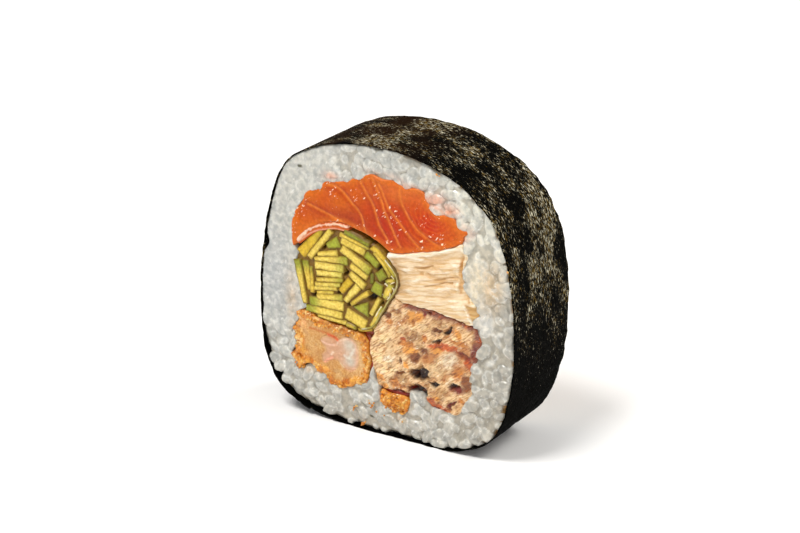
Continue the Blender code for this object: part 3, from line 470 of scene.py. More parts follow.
def loop_distance(x, z, loops):
    """How far each place is from the nearest point of closely sampled loops."""
    corners = np.vstack(loops)
    tree = kdtree.KDTree(len(corners))
    for i, (a, b) in enumerate(corners):
        tree.insert((a, b, 0.0), i)
    tree.balance()
    return np.array([tree.find((a, b, 0.0))[2] for a, b in zip(x, z)])


def back_cut(z):
    """Where the back cut lies at each height."""
    bow = BACK_BOW * np.exp(-(((z - BACK_BOW_HEIGHT) / BACK_BOW_SPREAD) ** 2))
    return BACK_CUT + bow - BACK_TUCK * (1 - ramp(z, 0.0, BACK_TUCK_HEIGHT))


def sheet_of_points(loops, spacing, seed):
    """Triangles over the area inside the first loop and outside the others, seen from the front."""
    chance = np.random.default_rng(seed)
    low = loops[0].min(axis=0)
    high = loops[0].max(axis=0)
    row_height = spacing * math.sqrt(3) / 2
    xs, zs = np.meshgrid(np.arange(low[0], high[0], spacing), np.arange(low[1], high[1], row_height))
    xs[1::2] += spacing / 2
    x = xs.ravel() + chance.uniform(-0.2, 0.2, xs.size) * spacing
    z = zs.ravel() + chance.uniform(-0.2, 0.2, xs.size) * spacing
    keep = inside(loops[0], x, z)
    for hole in loops[1:]:
        keep &= ~inside(hole, x, z)
    x, z = x[keep], z[keep]
    keep = loop_distance(x, z, loops) > spacing * 0.6
    points = np.vstack([*loops, np.stack([x[keep], z[keep]], axis=1)])
    edges = []
    start = 0
    for loop in loops:
        count = len(loop)
        edges += [(start + i, start + (i + 1) % count) for i in range(count)]
        start += count
    found = delaunay_2d_cdt([Vector(p) for p in points], edges, [], 0, 1e-6)
    points = np.array([tuple(p) for p in found[0]])
    faces = np.array(found[2], int)
    middle = points[faces].mean(axis=1)
    keep = inside(loops[0], middle[:, 0], middle[:, 1])
    for hole in loops[1:]:
        keep &= ~inside(hole, middle[:, 0], middle[:, 1])
    faces = faces[keep]
    used, index = np.unique(faces, return_inverse=True)
    points = points[used]
    faces = index.reshape(-1, 3)
    a, b, c = (points[faces[:, k]] for k in range(3))
    area = (b[:, 0] - a[:, 0]) * (c[:, 1] - a[:, 1]) - (c[:, 0] - a[:, 0]) * (b[:, 1] - a[:, 1])
    faces[area < 0] = faces[area < 0][:, ::-1]
    return points, faces


def open_edges(faces):
    """The edges that only one face has, each in that face's direction."""
    ends = np.concatenate([faces[:, [0, 1]], faces[:, [1, 2]], faces[:, [2, 0]]])
    many = faces.max() + 1
    forward = ends[:, 0] * many + ends[:, 1]
    backward = ends[:, 1] * many + ends[:, 0]
    return ends[~np.isin(forward, backward)]


def cut_solid(loops, spacing, look, rows=5, seed=1, front=FRONT_CUT, back=None):
    """A closed solid through the slice. look(x, z, edge, side) gives how far each place of a cut face lies
    behind the knife's cut, and its colour. The result is points, faces and colours."""
    flat, faces = sheet_of_points(loops, spacing, seed)
    x, z = flat[:, 0], flat[:, 1]
    edge = loop_distance(x, z, loops)
    depth, tint = look(x, z, edge, -1)
    front_points = np.stack([x, front + depth, z], axis=1)
    depth, back_tint = look(x, z, edge, 1)
    rear = back_cut(z) if back is None else np.full(len(z), back)
    back_points = np.stack([x, rear - depth, z], axis=1)
    rim = open_edges(faces)
    ring, rim_index = np.unique(rim, return_inverse=True)
    rim_index = rim_index.reshape(-1, 2)
    count = len(flat)
    points = [front_points, back_points]
    tints = [tint, back_tint]
    rows_of = [ring]
    for k in range(1, rows):
        share = k / rows
        points.append(front_points[ring] * (1 - share) + back_points[ring] * share)
        tints.append(tint[ring] * (1 - share) + back_tint[ring] * share)
        rows_of.append(2 * count + (k - 1) * len(ring) + np.arange(len(ring)))
    rows_of.append(ring + count)
    walls = []
    for here, there in zip(rows_of, rows_of[1:]):
        a, b = here[rim_index[:, 0]], here[rim_index[:, 1]]
        c, d = there[rim_index[:, 0]], there[rim_index[:, 1]]
        walls.append(np.stack([b, a, c], axis=1))
        walls.append(np.stack([b, c, d], axis=1))
    faces = np.vstack([faces, faces[:, ::-1] + count, *walls])
    return np.vstack(points), faces, np.vstack(tints)


def joined(parts):
    """Several lots of points, faces and colours as one."""
    start = 0
    faces = []
    for points, part_faces, _ in parts:
        faces.append(part_faces + start)
        start += len(points)
    return np.vstack([p[0] for p in parts]), np.vstack(faces), np.vstack([p[2] for p in parts])


def new_piece(name, shape, material, slot, *nodes):
    """An object of the roll from points in millimetres, faces and colours, with the share of painted glints if that is
    given.
    """
    points, faces, tints = shape
    mesh = bpy.data.meshes.new(name)
    mesh.from_pydata(points * MM, [], faces)
    mesh.update()
    colours = mesh.color_attributes.new("tint", "FLOAT_COLOR", "POINT")
    rows = np.ones((len(points), 4), np.float32)
    rows[:, :3] = np.clip(tints[:, :3], 0.0, 1.0)
    colours.data.foreach_set("color", rows.ravel())
    if tints.shape[1] > 3:
        painted_glint = mesh.attributes.new("painted_glint", "FLOAT", "POINT")
        painted_glint.data.foreach_set("value", tints[:, 3].astype(np.float32))
    mesh.materials.append(material)
    mesh.shade_smooth()
    obj = bpy.data.objects.new(name, mesh)
    bpy.context.scene.collection.objects.link(obj)
    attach(obj, "root")
    if nodes:
        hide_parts(*nodes)
    return obj


# Materials.


class Nodes:
    """A material and short ways to add nodes to it."""

    def __init__(self, name):
        self.material = bpy.data.materials.new(name)
        self.material.use_nodes = True
        self.tree = self.material.node_tree
        self.shader = self.tree.nodes["Principled BSDF"]

    def link(self, source, target):
        self.tree.links.new(source, target)

    def set(self, **values):
        for name, value in values.items():
            self.shader.inputs[name.replace("_", " ")].default_value = value

    def tint(self):
        node = self.tree.nodes.new("ShaderNodeVertexColor")
        node.layer_name = "tint"
        return node.outputs["Color"]

    def place(self, scale=(1.0, 1.0, 1.0), turn=0.0):
        """Object coordinates in millimetres, stretched and turned about Y."""
        source = self.tree.nodes.new("ShaderNodeTexCoord")
        mapping = self.tree.nodes.new("ShaderNodeMapping")
        mapping.vector_type = "TEXTURE"
        mapping.inputs["Scale"].default_value = [MM / part for part in scale]
        mapping.inputs["Rotation"].default_value = (0.0, turn, 0.0)
        self.link(source.outputs["Object"], mapping.inputs["Vector"])
        return mapping.outputs["Vector"]

    def noise(self, place, size, detail=3.0, roughness=0.5):
        node = self.tree.nodes.new("ShaderNodeTexNoise")
        node.inputs["Scale"].default_value = 1.0 / size
        node.inputs["Detail"].default_value = detail
        node.inputs["Roughness"].default_value = roughness
        self.link(place, node.inputs["Vector"])
        return node.outputs["Fac"]

    def cells(self, place, size, feature="F1"):
        node = self.tree.nodes.new("ShaderNodeTexVoronoi")
        node.feature = feature
        node.inputs["Scale"].default_value = 1.0 / size
        self.link(place, node.inputs["Vector"])
        return node.outputs["Distance"]

    def span(self, value, low, high, to_low=0.0, to_high=1.0):
        node = self.tree.nodes.new("ShaderNodeMapRange")
        node.interpolation_type = "SMOOTHSTEP"
        for name, number in (("From Min", low), ("From Max", high), ("To Min", to_low), ("To Max", to_high)):
            node.inputs[name].default_value = number
        self.link(value, node.inputs["Value"])
        return node.outputs["Result"]

    def add(self, first, second, share):
        """first plus a share of second."""
        node = self.tree.nodes.new("ShaderNodeMath")
        node.operation = "MULTIPLY_ADD"
        node.inputs[1].default_value = share
        self.link(second, node.inputs[0])
        self.link(first, node.inputs[2])
        return node.outputs[0]

    def blend(self, first, second, factor, mode="MIX"):
        """Two colours mixed by a factor. Each is a socket or a colour."""
        node = self.tree.nodes.new("ShaderNodeMix")
        node.data_type = "RGBA"
        node.blend_type = mode
        for socket, value in ((node.inputs[6], first), (node.inputs[7], second), (node.inputs[0], factor)):
            if isinstance(value, bpy.types.NodeSocket):
                self.link(value, socket)
            elif isinstance(value, float):
                socket.default_value = value
            else:
                socket.default_value = (*value, 1.0)
        return node.outputs[2]

    def relief(self, height, depth, strength=1.0):
        """Bumps of this depth, in millimetres."""
        node = self.tree.nodes.new("ShaderNodeBump")
        node.inputs["Distance"].default_value = depth * MM
        node.inputs["Strength"].default_value = strength
        self.link(height, node.inputs["Height"])
        self.link(node.outputs["Normal"], self.shader.inputs["Normal"])

    def flesh(self, weight, radius, scale):
        """Light that sinks in, by a distance in millimetres for each colour."""
        self.set(Subsurface_Weight=weight, Subsurface_Radius=radius, Subsurface_Scale=scale * MM)

    def glint(self, shade, light, size, slant):
        """The shade with small bright dashes, painted highlights that are thickest where the painted glint share is
        high.
        """
        painted_glint = self.tree.nodes.new("ShaderNodeAttribute")
        painted_glint.attribute_name = "painted_glint"
        dashes = self.noise(self.place((0.45, 1.0, 1.0), math.radians(slant)), size, 2.0, 0.6)
        return self.blend(shade, light, self.span(self.add(dashes, painted_glint.outputs["Fac"], 0.2), 0.72, 0.8))

    def colour(self, socket):
        self.link(socket, self.shader.inputs["Base Color"])


def rice_material():
    nodes = Nodes("rice")
    place = nodes.place()
    mottle = nodes.span(nodes.noise(place, 1.1, 3.0), 0.32, 0.68)
    milky = nodes.blend(rgb(216, 218, 218), rgb(255, 254, 250), mottle)
    shade = nodes.blend(nodes.tint(), milky, 1.0, "MULTIPLY")
    # Fine pale streaks, also used as bumps, are painted glints.
    streak = nodes.noise(nodes.place((0.3, 1.0, 1.0), math.radians(-58)), 0.45, 3.0)
    nodes.colour(nodes.blend(shade, rgb(250, 250, 246), nodes.span(streak, 0.6, 0.78, 0.0, 0.55)))
    nodes.set(Roughness=0.28, Specular_IOR_Level=0.5, Coat_Weight=0.55, Coat_Roughness=0.07)
    nodes.flesh(0.6, (1.0, 0.95, 0.85), 1.1)
    fine = nodes.add(nodes.noise(place, 0.55, 2.0), streak, 0.6)
    nodes.relief(fine, 0.2)
    return nodes.material


def salmon_material():
    nodes = Nodes("salmon")
    place = nodes.place()
    mottle = nodes.span(nodes.noise(place, 0.6, 3.0), 0.3, 0.7)
    grain = nodes.blend(rgb(234, 224, 214), rgb(255, 255, 255), mottle)
    shade = nodes.blend(nodes.tint(), grain, 1.0, "MULTIPLY")
    # Small pale dashes are painted highlights.
    nodes.colour(nodes.glint(shade, rgb(255, 232, 204), 0.34, -48))
    nodes.set(Roughness=0.36, Specular_IOR_Level=0.14, Coat_Weight=0.0)
    nodes.flesh(0.15, (1.0, 0.3, 0.1), 0.6)
    nodes.relief(nodes.noise(place, 0.5, 3.0), 0.12)
    return nodes.material


def cheese_material():
    nodes = Nodes("cream_cheese")
    drag = nodes.noise(nodes.place((0.16, 1.0, 1.0), math.radians(-12)), 0.5, 4.0)
    # Warm in the dragged grooves and white on their ridges: painted shade and painted highlight.
    warm = nodes.blend(rgb(236, 218, 190), rgb(255, 255, 255), nodes.span(drag, 0.35, 0.62))
    nodes.colour(nodes.blend(nodes.tint(), warm, 1.0, "MULTIPLY"))
    nodes.set(Roughness=0.45, Specular_IOR_Level=0.3, Coat_Weight=0.08, Coat_Roughness=0.25)
    nodes.flesh(0.25, (1.0, 0.8, 0.5), 0.5)
    nodes.relief(nodes.add(drag, nodes.noise(nodes.place(), 0.4, 3.0), 0.4), 0.2)
    return nodes.material


def avocado_material():
    nodes = Nodes("avocado")
    place = nodes.place()
    mottle = nodes.span(nodes.noise(place, 0.5, 4.0), 0.3, 0.7)
    grain = nodes.blend(rgb(226, 214, 180), rgb(255, 255, 255), mottle)
    nodes.colour(nodes.blend(nodes.tint(), grain, 1.0, "MULTIPLY"))
    nodes.set(Roughness=0.42, Specular_IOR_Level=0.3, Coat_Weight=0.1, Coat_Roughness=0.2)
    nodes.flesh(0.12, (1.0, 0.9, 0.3), 0.5)
    nodes.relief(nodes.noise(place, 0.3, 4.0), 0.14)
    return nodes.material


def fried_material(name):
    nodes = Nodes(name)
    place = nodes.place()
    mottle = nodes.span(nodes.noise(place, 0.4, 4.0), 0.3, 0.7)
    grain = nodes.blend(rgb(232, 208, 176), rgb(255, 255, 255), mottle)
    shade = nodes.blend(nodes.tint(), grain, 1.0, "MULTIPLY")
    # Small pale dashes are painted highlights.
    nodes.colour(nodes.glint(shade, rgb(255, 226, 168), 0.36, -20))
    nodes.set(Roughness=0.36, Specular_IOR_Level=0.3, Coat_Weight=0.2, Coat_Roughness=0.12)
    nodes.flesh(0.15, (1.0, 0.6, 0.2), 0.5)
    nodes.relief(nodes.noise(place, 0.4, 4.0, 0.55), 0.16)
    return nodes.material


def prawn_material():
    nodes = Nodes("prawn")
    place = nodes.place()
    mottle = nodes.span(nodes.noise(place, 0.8, 3.0), 0.3, 0.7)
    grain = nodes.blend(rgb(240, 232, 224), rgb(255, 255, 255), mottle)
    nodes.colour(nodes.blend(nodes.tint(), grain, 1.0, "MULTIPLY"))
    nodes.set(Roughness=0.34, Specular_IOR_Level=0.3, Coat_Weight=0.1, Coat_Roughness=0.15)
    nodes.flesh(0.25, (1.0, 0.75, 0.6), 0.7)
    nodes.relief(nodes.noise(place, 0.45, 3.0), 0.16)
    return nodes.material


def eel_material():
    nodes = Nodes("eel")
    fibre = nodes.noise(nodes.place((0.2, 1.0, 1.0), math.radians(-38)), 0.3, 4.0)
    grain = nodes.blend(rgb(196, 164, 124), rgb(255, 255, 255), nodes.span(fibre, 0.32, 0.58))
    shade = nodes.blend(nodes.tint(), grain, 1.0, "MULTIPLY")
    # Small pale dashes are painted highlights.
    nodes.colour(nodes.glint(shade, rgb(255, 240, 214), 0.34, -38))
    nodes.set(Roughness=0.3, Specular_IOR_Level=0.4, Coat_Weight=0.45, Coat_Roughness=0.09)
    nodes.flesh(0.08, (1.0, 0.6, 0.3), 0.4)
    nodes.relief(nodes.add(fibre, nodes.noise(nodes.place(), 0.35, 4.0), 0.7), 0.26)
    return nodes.material


def sauce_material():
    nodes = Nodes("sauce")
    place = nodes.place()
    thick = nodes.span(nodes.noise(place, 1.2, 2.0), 0.35, 0.65)
    nodes.colour(nodes.blend(nodes.tint(), nodes.blend(rgb(200, 170, 150), rgb(255, 255, 255), thick), 1.0, "MULTIPLY"))
    nodes.set(Roughness=0.2, Specular_IOR_Level=0.4, Coat_Weight=0.3, Coat_Roughness=0.08)
    nodes.relief(nodes.noise(place, 0.6, 2.0), 0.2)
    return nodes.material


def nori_material():
    nodes = Nodes("nori")
    sheet = nodes.tree.nodes.new("ShaderNodeAttribute")
    sheet.attribute_name = "sheet_place"
    shine = nodes.tree.nodes.new("ShaderNodeAttribute")
    shine.attribute_name = "painted_sparkle"
    stretch = nodes.tree.nodes.new("ShaderNodeMapping")
    stretch.inputs["Scale"].default_value = (0.34, 1.0, 1.0)
    nodes.link(sheet.outputs["Vector"], stretch.inputs["Vector"])
    flow = stretch.outputs["Vector"]
    fine = nodes.noise(flow, 0.3, 3.0, 0.7)
    hue = nodes.noise(flow, 0.5, 2.0)
    # Pale specks are painted highlights: glints on the crinkled sheet.
    lifted = nodes.add(fine, shine.outputs["Fac"], 0.2)
    glint_specks = nodes.span(lifted, 0.67, 0.8)
    glint_colour = nodes.blend(rgb(120, 96, 40), rgb(214, 208, 182), nodes.span(hue, 0.42, 0.6))
    nodes.colour(nodes.blend(nodes.tint(), glint_colour, glint_specks))
    nodes.set(Specular_IOR_Level=0.01, Coat_Weight=0.0)
    nodes.link(nodes.span(fine, 0.35, 0.7, 0.8, 0.55), nodes.shader.inputs["Roughness"])
    nodes.relief(nodes.add(fine, hue, 0.8), 0.3)
    return nodes.material


# Shapes.


def rounded(edge, radius):
    """How far a cut edge falls back where it is rounded to this radius."""
    near = np.clip(1 - edge / radius, 0.0, 1.0)
    return radius * (1 - np.sqrt(1 - near**2))


def flecks(x, z, rows, slant):
    """How strongly painted glints show at these places, each given by x, z and half its length."""
    turn = math.radians(slant)
    total = np.zeros(len(x))
    for middle_x, middle_z, reach in rows:
        dx, dz = x - middle_x, z - middle_z
        along = dx * math.cos(turn) + dz * math.sin(turn)
        across = dz * math.cos(turn) - dx * math.sin(turn)
        total = np.maximum(total, bump(along, 0.0, reach + 0.2) * bump(across, 0.0, 0.42))
    return total


def salmon_look(x, z, edge, side):
    lines = np.full(len(x), 1e9)
    for path in FAT_LINES:
        lines = np.minimum(lines, line_distance(x, z, smooth_line(path, 0.5)))
    turn = np.hypot(x - 12.0, (z - 50.5) * 1.15)
    arcs = bump(np.mod(turn + 0.35 * soft_noise(x, 0, z, 3.0, 4), 1.0), 0.5, 0.16) * ramp(x, 4.5, 7.5)
    sweep = soft_noise(x, 7 * side, z, 3.5, 11)
    tint = mix(rgb(212, 106, 26), rgb(196, 70, 20), 0.4 + 0.35 * sweep)
    tint = mix(tint, rgb(190, 42, 20), 0.95 * blob(x, z, 0.8, 45.8, 6.5, 5.5))
    tint = mix(tint, rgb(198, 48, 20), 0.85 * blob(x, z, 10.5, 47.8, 5.5, 3.4))
    # Darker along the lower edge beside the avocado: painted shade where the two meet.
    tint = mix(tint, rgb(168, 58, 30), 0.85 * blob(x, z, -8.5, 45.4, 6.5, 2.2))
    tint = mix(tint, rgb(180, 66, 26), 0.6 * bump(lines, 0.55, 0.5))
    tint = mix(tint, rgb(220, 116, 34), 0.7 * (1 - ramp(edge, 0.3, 1.8)))
    tint = mix(tint, rgb(222, 118, 52), 0.7 * blob(x, z, 3.6, 53.4, 5.0, 2.0))
    tint = mix(tint, rgb(232, 134, 54), 0.75 * bump(lines, 0.0, 0.26))
    tint = mix(tint, rgb(224, 108, 36), 0.45 * arcs)
    tint = mix(tint, rgb(240, 150, 96), 0.5 * (1 - ramp(edge, 0.0, 0.35)))
    # Where the painted glints show: the listed flecks and loose patches on the front, stronger patches on the back.
    zone = 0.45 * ramp(soft_noise(x, 3, z, 3.2, 33), 0.0, 0.8)
    painted_glint = np.maximum(flecks(x, z, SALMON_FLECKS, 48) if side < 0 else zone * 1.4, zone)
    relief = 0.22 * sweep + 0.16 * bump(lines, 0.0, 0.4) - 0.05 * arcs
    relief = relief - 0.1 * painted_glint + 0.1 * soft_noise(x, side, z, 1.3, 8)
    return 0.32 + relief + rounded(edge, 0.3), np.column_stack([tint, painted_glint])


def membrane_look(x, z, edge, side):
    line = smooth_line(MEMBRANE_LINE, 0.4)
    reach = line_distance(x, z, line)
    blade = 0.2 + 0.22 * rough_noise(x, 0, z, 0.7, 2, 21) + 0.75 * (1 - ramp(x, -21.0, -18.0))
    pale = 1 - ramp(reach, blade * 0.6, blade + 0.12)
    low = line_distance(x, z, line - np.array((0.0, 0.95)))
    pale = np.maximum(pale, 0.55 * bump(low, 0.0, 0.14))
    tint = mix(np.tile(rgb(206, 96, 32), (len(x), 1)), rgb(250, 212, 186), pale)
    return 0.3 - 0.12 * pale + rounded(edge, 0.25), tint


def cheese_look(x, z, edge, side):
    slope = math.radians(12 * -side)
    along = x * math.cos(slope) + z * math.sin(slope)
    across = z * math.cos(slope) - x * math.sin(slope)
    drag = rough_noise(along / 6.0, side, across, 0.7, 3, 41)
    steps = rough_noise(along / 3.0, side * 2, across, 2.0, 3, 51)
    middle = blob(x, z, 12.0, 37.4, 7.0, 3.6)
    torn = ramp(rough_noise(x / 1.6, side * 4, z, 1.1, 4, 57), 0.0, 0.7) * middle
    upright = rough_noise(x, side, z / 4.0, 0.9, 2, 61) * blob(x, z, 18.2, 38.5, 1.6, 5.0)
    shade = (1 - ramp(x, 2.6, 7.0)) * ramp(z, 30.5, 33.0) * (1 - ramp(z, 37.0, 40.0))
    cut = np.full(len(x), 1e9)
    for path in CHEESE_CREASES:
        cut = np.minimum(cut, line_distance(x, z, path))
    cut = bump(cut + 0.12 * drag, 0.0, 0.22) if side < 0 else np.zeros(len(x))
    facet = ramp(x + 0.45 * (z - 30.0), 20.1, 20.6) * (1 - ramp(z, 32.6, 33.2))
    facet_rim = bump(x + 0.45 * (z - 30.0), 20.2, 0.25) * (1 - ramp(z, 32.6, 33.2))
    top = (1 - ramp(edge, 0.2, 1.1)) * ramp(z - 0.25 * x, 36.5, 38.0)
    relief = 0.3 + 0.2 * drag + 0.22 * steps + 0.25 * upright + 0.5 * shade + 0.3 * torn + 0.4 * cut
    relief = relief + 0.35 * facet - 0.12 * facet_rim - 0.12 * top
    # Tan where the drags, tears and creases sink back is painted shade; white on the raised drags and upright wrinkles
    # is painted highlight.
    tint = mix(rgb(236, 214, 180), rgb(222, 186, 140), 0.5 * ramp(drag, 0.2, 0.9) + 0.45 * ramp(steps, 0.0, 0.8))
    tint = mix(tint, rgb(228, 190, 140), 0.7 * torn)
    tint = mix(tint, rgb(255, 250, 238), 0.8 * ramp(-drag, 0.25, 0.8) * (1 - 0.5 * torn))
    tint = mix(tint, rgb(255, 250, 236), 0.9 * np.maximum(top, ramp(-upright, 0.1, 0.4)))
    tint = mix(tint, rgb(244, 226, 194), 0.5 * ramp(x, 14.0, 18.0))
    tint = mix(tint, rgb(214, 166, 104), 0.8 * cut + 0.8 * ramp(upright, 0.15, 0.5))
    # Painted shade on the left side, where it slopes back towards the avocado.
    tint = mix(tint, rgb(196, 156, 100), 0.85 * shade)
    # The slanted facet is painted tan as shade, with a painted highlight along its rim.
    tint = mix(tint, rgb(214, 178, 122), facet)
    tint = mix(tint, rgb(255, 250, 238), 0.8 * facet_rim)
    return relief + rounded(edge, 0.3), tint


def patch(x, z, row):
    """1 inside a slanted patch, falling away at its edge."""
    middle_x, middle_z, half_length, half_width, slant = row[:5]
    turn = math.radians(slant)
    dx, dz = x - middle_x, z - middle_z
    along = (dx * math.cos(turn) + dz * math.sin(turn)) / half_length
    across = (dz * math.cos(turn) - dx * math.sin(turn)) / half_width
    return 1 - ramp(np.hypot(along, across), 0.55, 1.15)


def eel_look(x, z, edge, side):
    wander_x = x + 0.5 * rough_noise(x, side, z, 1.5, 4, 71)
    wander_z = z + 0.5 * rough_noise(x, side, z, 1.5, 4, 81)
    turn = math.radians(38)
    along = wander_x * math.cos(turn) + wander_z * math.sin(turn)
    across = wander_z * math.cos(turn) - wander_x * math.sin(turn)
    fibre = rough_noise(along / 4.0, side, across, 0.7, 3, 91)
    flake = rough_noise(along / 1.8, side * 3, across, 2.2, 4, 101)
    relief = 0.5 + 0.3 * flake + 0.16 * fibre
    tint = mix(rgb(244, 208, 158), rgb(214, 156, 90), 0.7 * ramp(flake, -0.1, 0.7))
    tint = mix(tint, rgb(190, 116, 50), 0.8 * ramp(flake, 0.45, 0.95))
    for row in EEL_PATCHES:
        there = patch(wander_x, wander_z, row)
        colour = rgb(*EEL_SHADES[row[5]])
        mottled = colour * (1.0 - 0.35 * np.clip(fibre + 0.6 * flake, -0.7, 1.0))[:, None]
        tint = tint * (1 - there[:, None]) + mottled * there[:, None]
        relief = relief + row[6] * there
    skin = line_distance(x, z, EEL_OUTLINE[0:11])
    skin = (1 - ramp(skin + 0.7 * flake, 0.5, 1.7)) * ramp(x + 0.3 * flake, 3.0, 6.0)
    tint = mix(tint, rgb(122, 30, 10), 0.9 * skin)
    # Orange streaks on the skin are painted highlights.
    tint = mix(tint, rgb(216, 104, 28), 0.75 * ramp(fibre + 0.5 * flake, 0.1, 0.7) * skin)
    tint = mix(tint, rgb(30, 12, 8), 0.8 * skin * ramp(soft_noise(x, side, z, 1.6, 111), 0.4, 0.8))
    streaks = ramp(fibre, 0.35, 0.9)
    tint = mix(tint, rgb(178, 96, 34), 0.45 * streaks)
    # Pale along the raised fibres: painted highlights.
    tint = mix(tint, rgb(255, 240, 210), 0.5 * ramp(-fibre, 0.45, 0.9) * (1 - skin))
    # Where the painted glints show: the listed flecks on the front and loose patches all over.
    painted_glint = np.maximum(flecks(x, z, EEL_FLECKS, 40) if side < 0 else 0.0, 0.6 * ramp(soft_noise(x, side, z, 2.2, 113), 0.0, 0.8))
    return relief + rounded(edge, 0.3), np.column_stack([np.clip(tint, 0.0, 1.0), painted_glint])


def crust_colour(x, y, z, seed):
    """Fried crumb, from pale gold to deep orange-brown, with pale flecks painted as highlights."""
    tone = rough_noise(x, y, z, 1.1, 3, seed)
    tint = mix(rgb(246, 184, 80), rgb(210, 124, 34), 0.45 + 0.6 * tone)
    tint = mix(tint, rgb(176, 84, 22), 0.7 * ramp(soft_noise(x, y, z, 1.4, seed + 5), 0.4, 0.85))
    # Pale flecks: painted highlights.
    return mix(tint, rgb(255, 224, 150), ramp(soft_noise(x, y, z, 0.6, seed + 9), 0.25, 0.75))


def dough_tint(x, z, side):
    """The tan inside of the coat and the pink prawn in it, without a hard line between the two."""
    rough = rough_noise(x, side, z, 1.8, 3, 131)
    tint = mix(rgb(226, 184, 122), rgb(206, 150, 80), 0.5 + 0.55 * rough)
    tint = mix(tint, rgb(238, 204, 150), 0.85 * blob(x, z, -5.9, 15.5, 1.5, 4.5))
    tint = mix(tint, rgb(212, 160, 92), 0.6 * blob(x, z, -12.5, 12.8, 2.2, 1.6) + 0.6 * blob(x, z, -17.0, 13.0, 1.6, 1.4))
    near = loop_distance(x, z, [prawn_loop])
    within = np.where(inside(prawn_loop, x, z), near, -near)
    flesh = ramp(within, -0.5, 0.7)
    pink = mix(rgb(222, 178, 146), rgb(214, 160, 122), 0.5 + 0.5 * soft_noise(x, side, z, 2.0, 161))
    pale = blob(x, z, -8.3, 17.9, 1.9, 2.0) + blob(x, z, -8.2, 14.3, 1.5, 1.4)
    pink = mix(pink, rgb(214, 208, 192), 0.9 * np.clip(pale, 0.0, 1.0))
    pink = mix(pink, rgb(234, 184, 154), 0.7 * bump(within, 0.2, 0.5) * ramp(x, -10.5, -8.0))
    return mix(tint, pink, flesh)


def prawn_lines(x, z, tint):
    """The folds of the prawn: pale lines, a pink streak and the red thread over it."""
    for path, colour, share, width in PRAWN_LINES:
        near = line_distance(x, z, smooth_line(path, 0.3))
        tint = mix(tint, rgb(*colour), share * bump(near, 0.0, width))
    return tint


def batter_look(x, z, edge, side):
    shell = loop_distance(x, z, [batter_loop])
    width = 1.6 + 0.7 * soft_noise(x, side, z, 1.6, 121) + 1.5 * (1 - ramp(x, -20.5, -17.5))
    width = width + 0.7 * (1 - ramp(z, 10.0, 12.0))
    crust = 1 - ramp(shell, width * 0.5, width + 0.4)
    tint = mix(dough_tint(x, z, side), crust_colour(x, side, z, 141), crust)
    tint = mix(tint, rgb(250, 208, 154), 0.8 * blob(x, z, -19.9, 20.6, 0.9, 1.9) * (side < 0))
    tint = prawn_lines(x, z, tint)
    tint = mix(tint, rgb(158, 86, 30), 0.75 * ramp(z, 20.6, 21.8) * ramp(x, -16.0, -12.0))
    crag = rough_noise(x, 3 * side, z, 1.0, 4, 151)
    relief = 0.42 + crust * (0.32 * crag - 0.12) + (1 - crust) * 0.1 * crag
    # Where the painted glints show: in patches on the crust.
    painted_glint = crust * 0.8 * ramp(soft_noise(x, side, z, 1.5, 155), -0.3, 0.6)
    return relief + rounded(shell, 0.4), np.column_stack([tint, painted_glint])


def prawn_look(x, z, edge, side):
    tint = prawn_lines(x, z, dough_tint(x, z, side))
    return 0.42 + 0.1 * rough_noise(x, 3 * side, z, 1.0, 4, 151), tint


def strand_look(x, z, edge, side):
    crag = rough_noise(x, 3 * side, z, 1.1, 4, 181)
    # Where the painted glints show: in patches.
    painted_glint = 0.8 * ramp(soft_noise(x, side, z, 1.5, 185), -0.3, 0.6)
    return 0.5 + 0.45 * crag + rounded(edge, 0.4), np.column_stack([crust_colour(x, side, z, 191), painted_glint])


def ragged_loop(loop, size, depth, seed):
    """A fine loop with an uneven edge."""
    moved = depth * rough_noise(loop[:, 0], 0.0, loop[:, 1], size, 3, seed)
    return inset(loop, moved)


def filling_loop(outline, step):
    return inset(smooth_loop(outline, step), SNUG)


def snug_loop(loop, others):
    """The loop, moved out to touch the others wherever it runs close to them."""
    near = loop_distance(loop[:, 0], loop[:, 1], others)
    return inset(loop, -np.clip(near - 0.03, 0.0, 1.0) * (1 - ramp(near, 0.7, 1.1)))


def rice_depth(loop):
    """How far the rice lies inside the wrapper's outer side, for each point of the wrapper's loop."""
    x, z = loop[:, 0], loop[:, 1]
    beyond_outer_end = ramp(-x, -OUTER_END_X - TUCK_BLEND, -OUTER_END_X)
    below_inner_end = 1 - ramp(z, INNER_END_HEIGHT, INNER_END_HEIGHT + TUCK_BLEND)
    depth = SHEET + 0.06 + TUCK * beyond_outer_end * below_inner_end
    lifted = ramp(x, POCKET[0], POCKET[0] + 2) * (1 - ramp(x, POCKET[1] - 5, POCKET[1]))
    depth = depth + np.where(z < ROLL_MIDDLE[1], POCKET_DEPTH * lifted, 0.0)
    depth = depth + 0.95 * bump(z, 37.2, 1.5) * (x < -20)
    nicks = ramp(soft_noise(x, 0.0, z, 1.8, 195), 0.35, 0.8) * (0.25 + 0.75 * (z < 14))
    return depth + 0.55 * nicks


def bed_loop(loops, lap):
    """The hollow in the rice that holds the fillings, lapping a little under their sides."""
    corners = np.vstack(loops) - np.array(ROLL_MIDDLE)
    angles = np.arctan2(corners[:, 1], corners[:, 0])
    reach = np.hypot(corners[:, 0], corners[:, 1])
    slots = 240
    slot = np.floor((angles + math.pi) / (2 * math.pi) * slots).astype(int) % slots
    farthest = np.zeros(slots)
    np.maximum.at(farthest, slot, reach)
    farthest = farthest - lap
    middle = (np.arange(slots) + 0.5) / slots * 2 * math.pi - math.pi
    loop = np.stack([np.cos(middle), np.sin(middle)], axis=1) * farthest[:, None] + np.array(ROLL_MIDDLE)
    return resample(loop, 0.45, True)


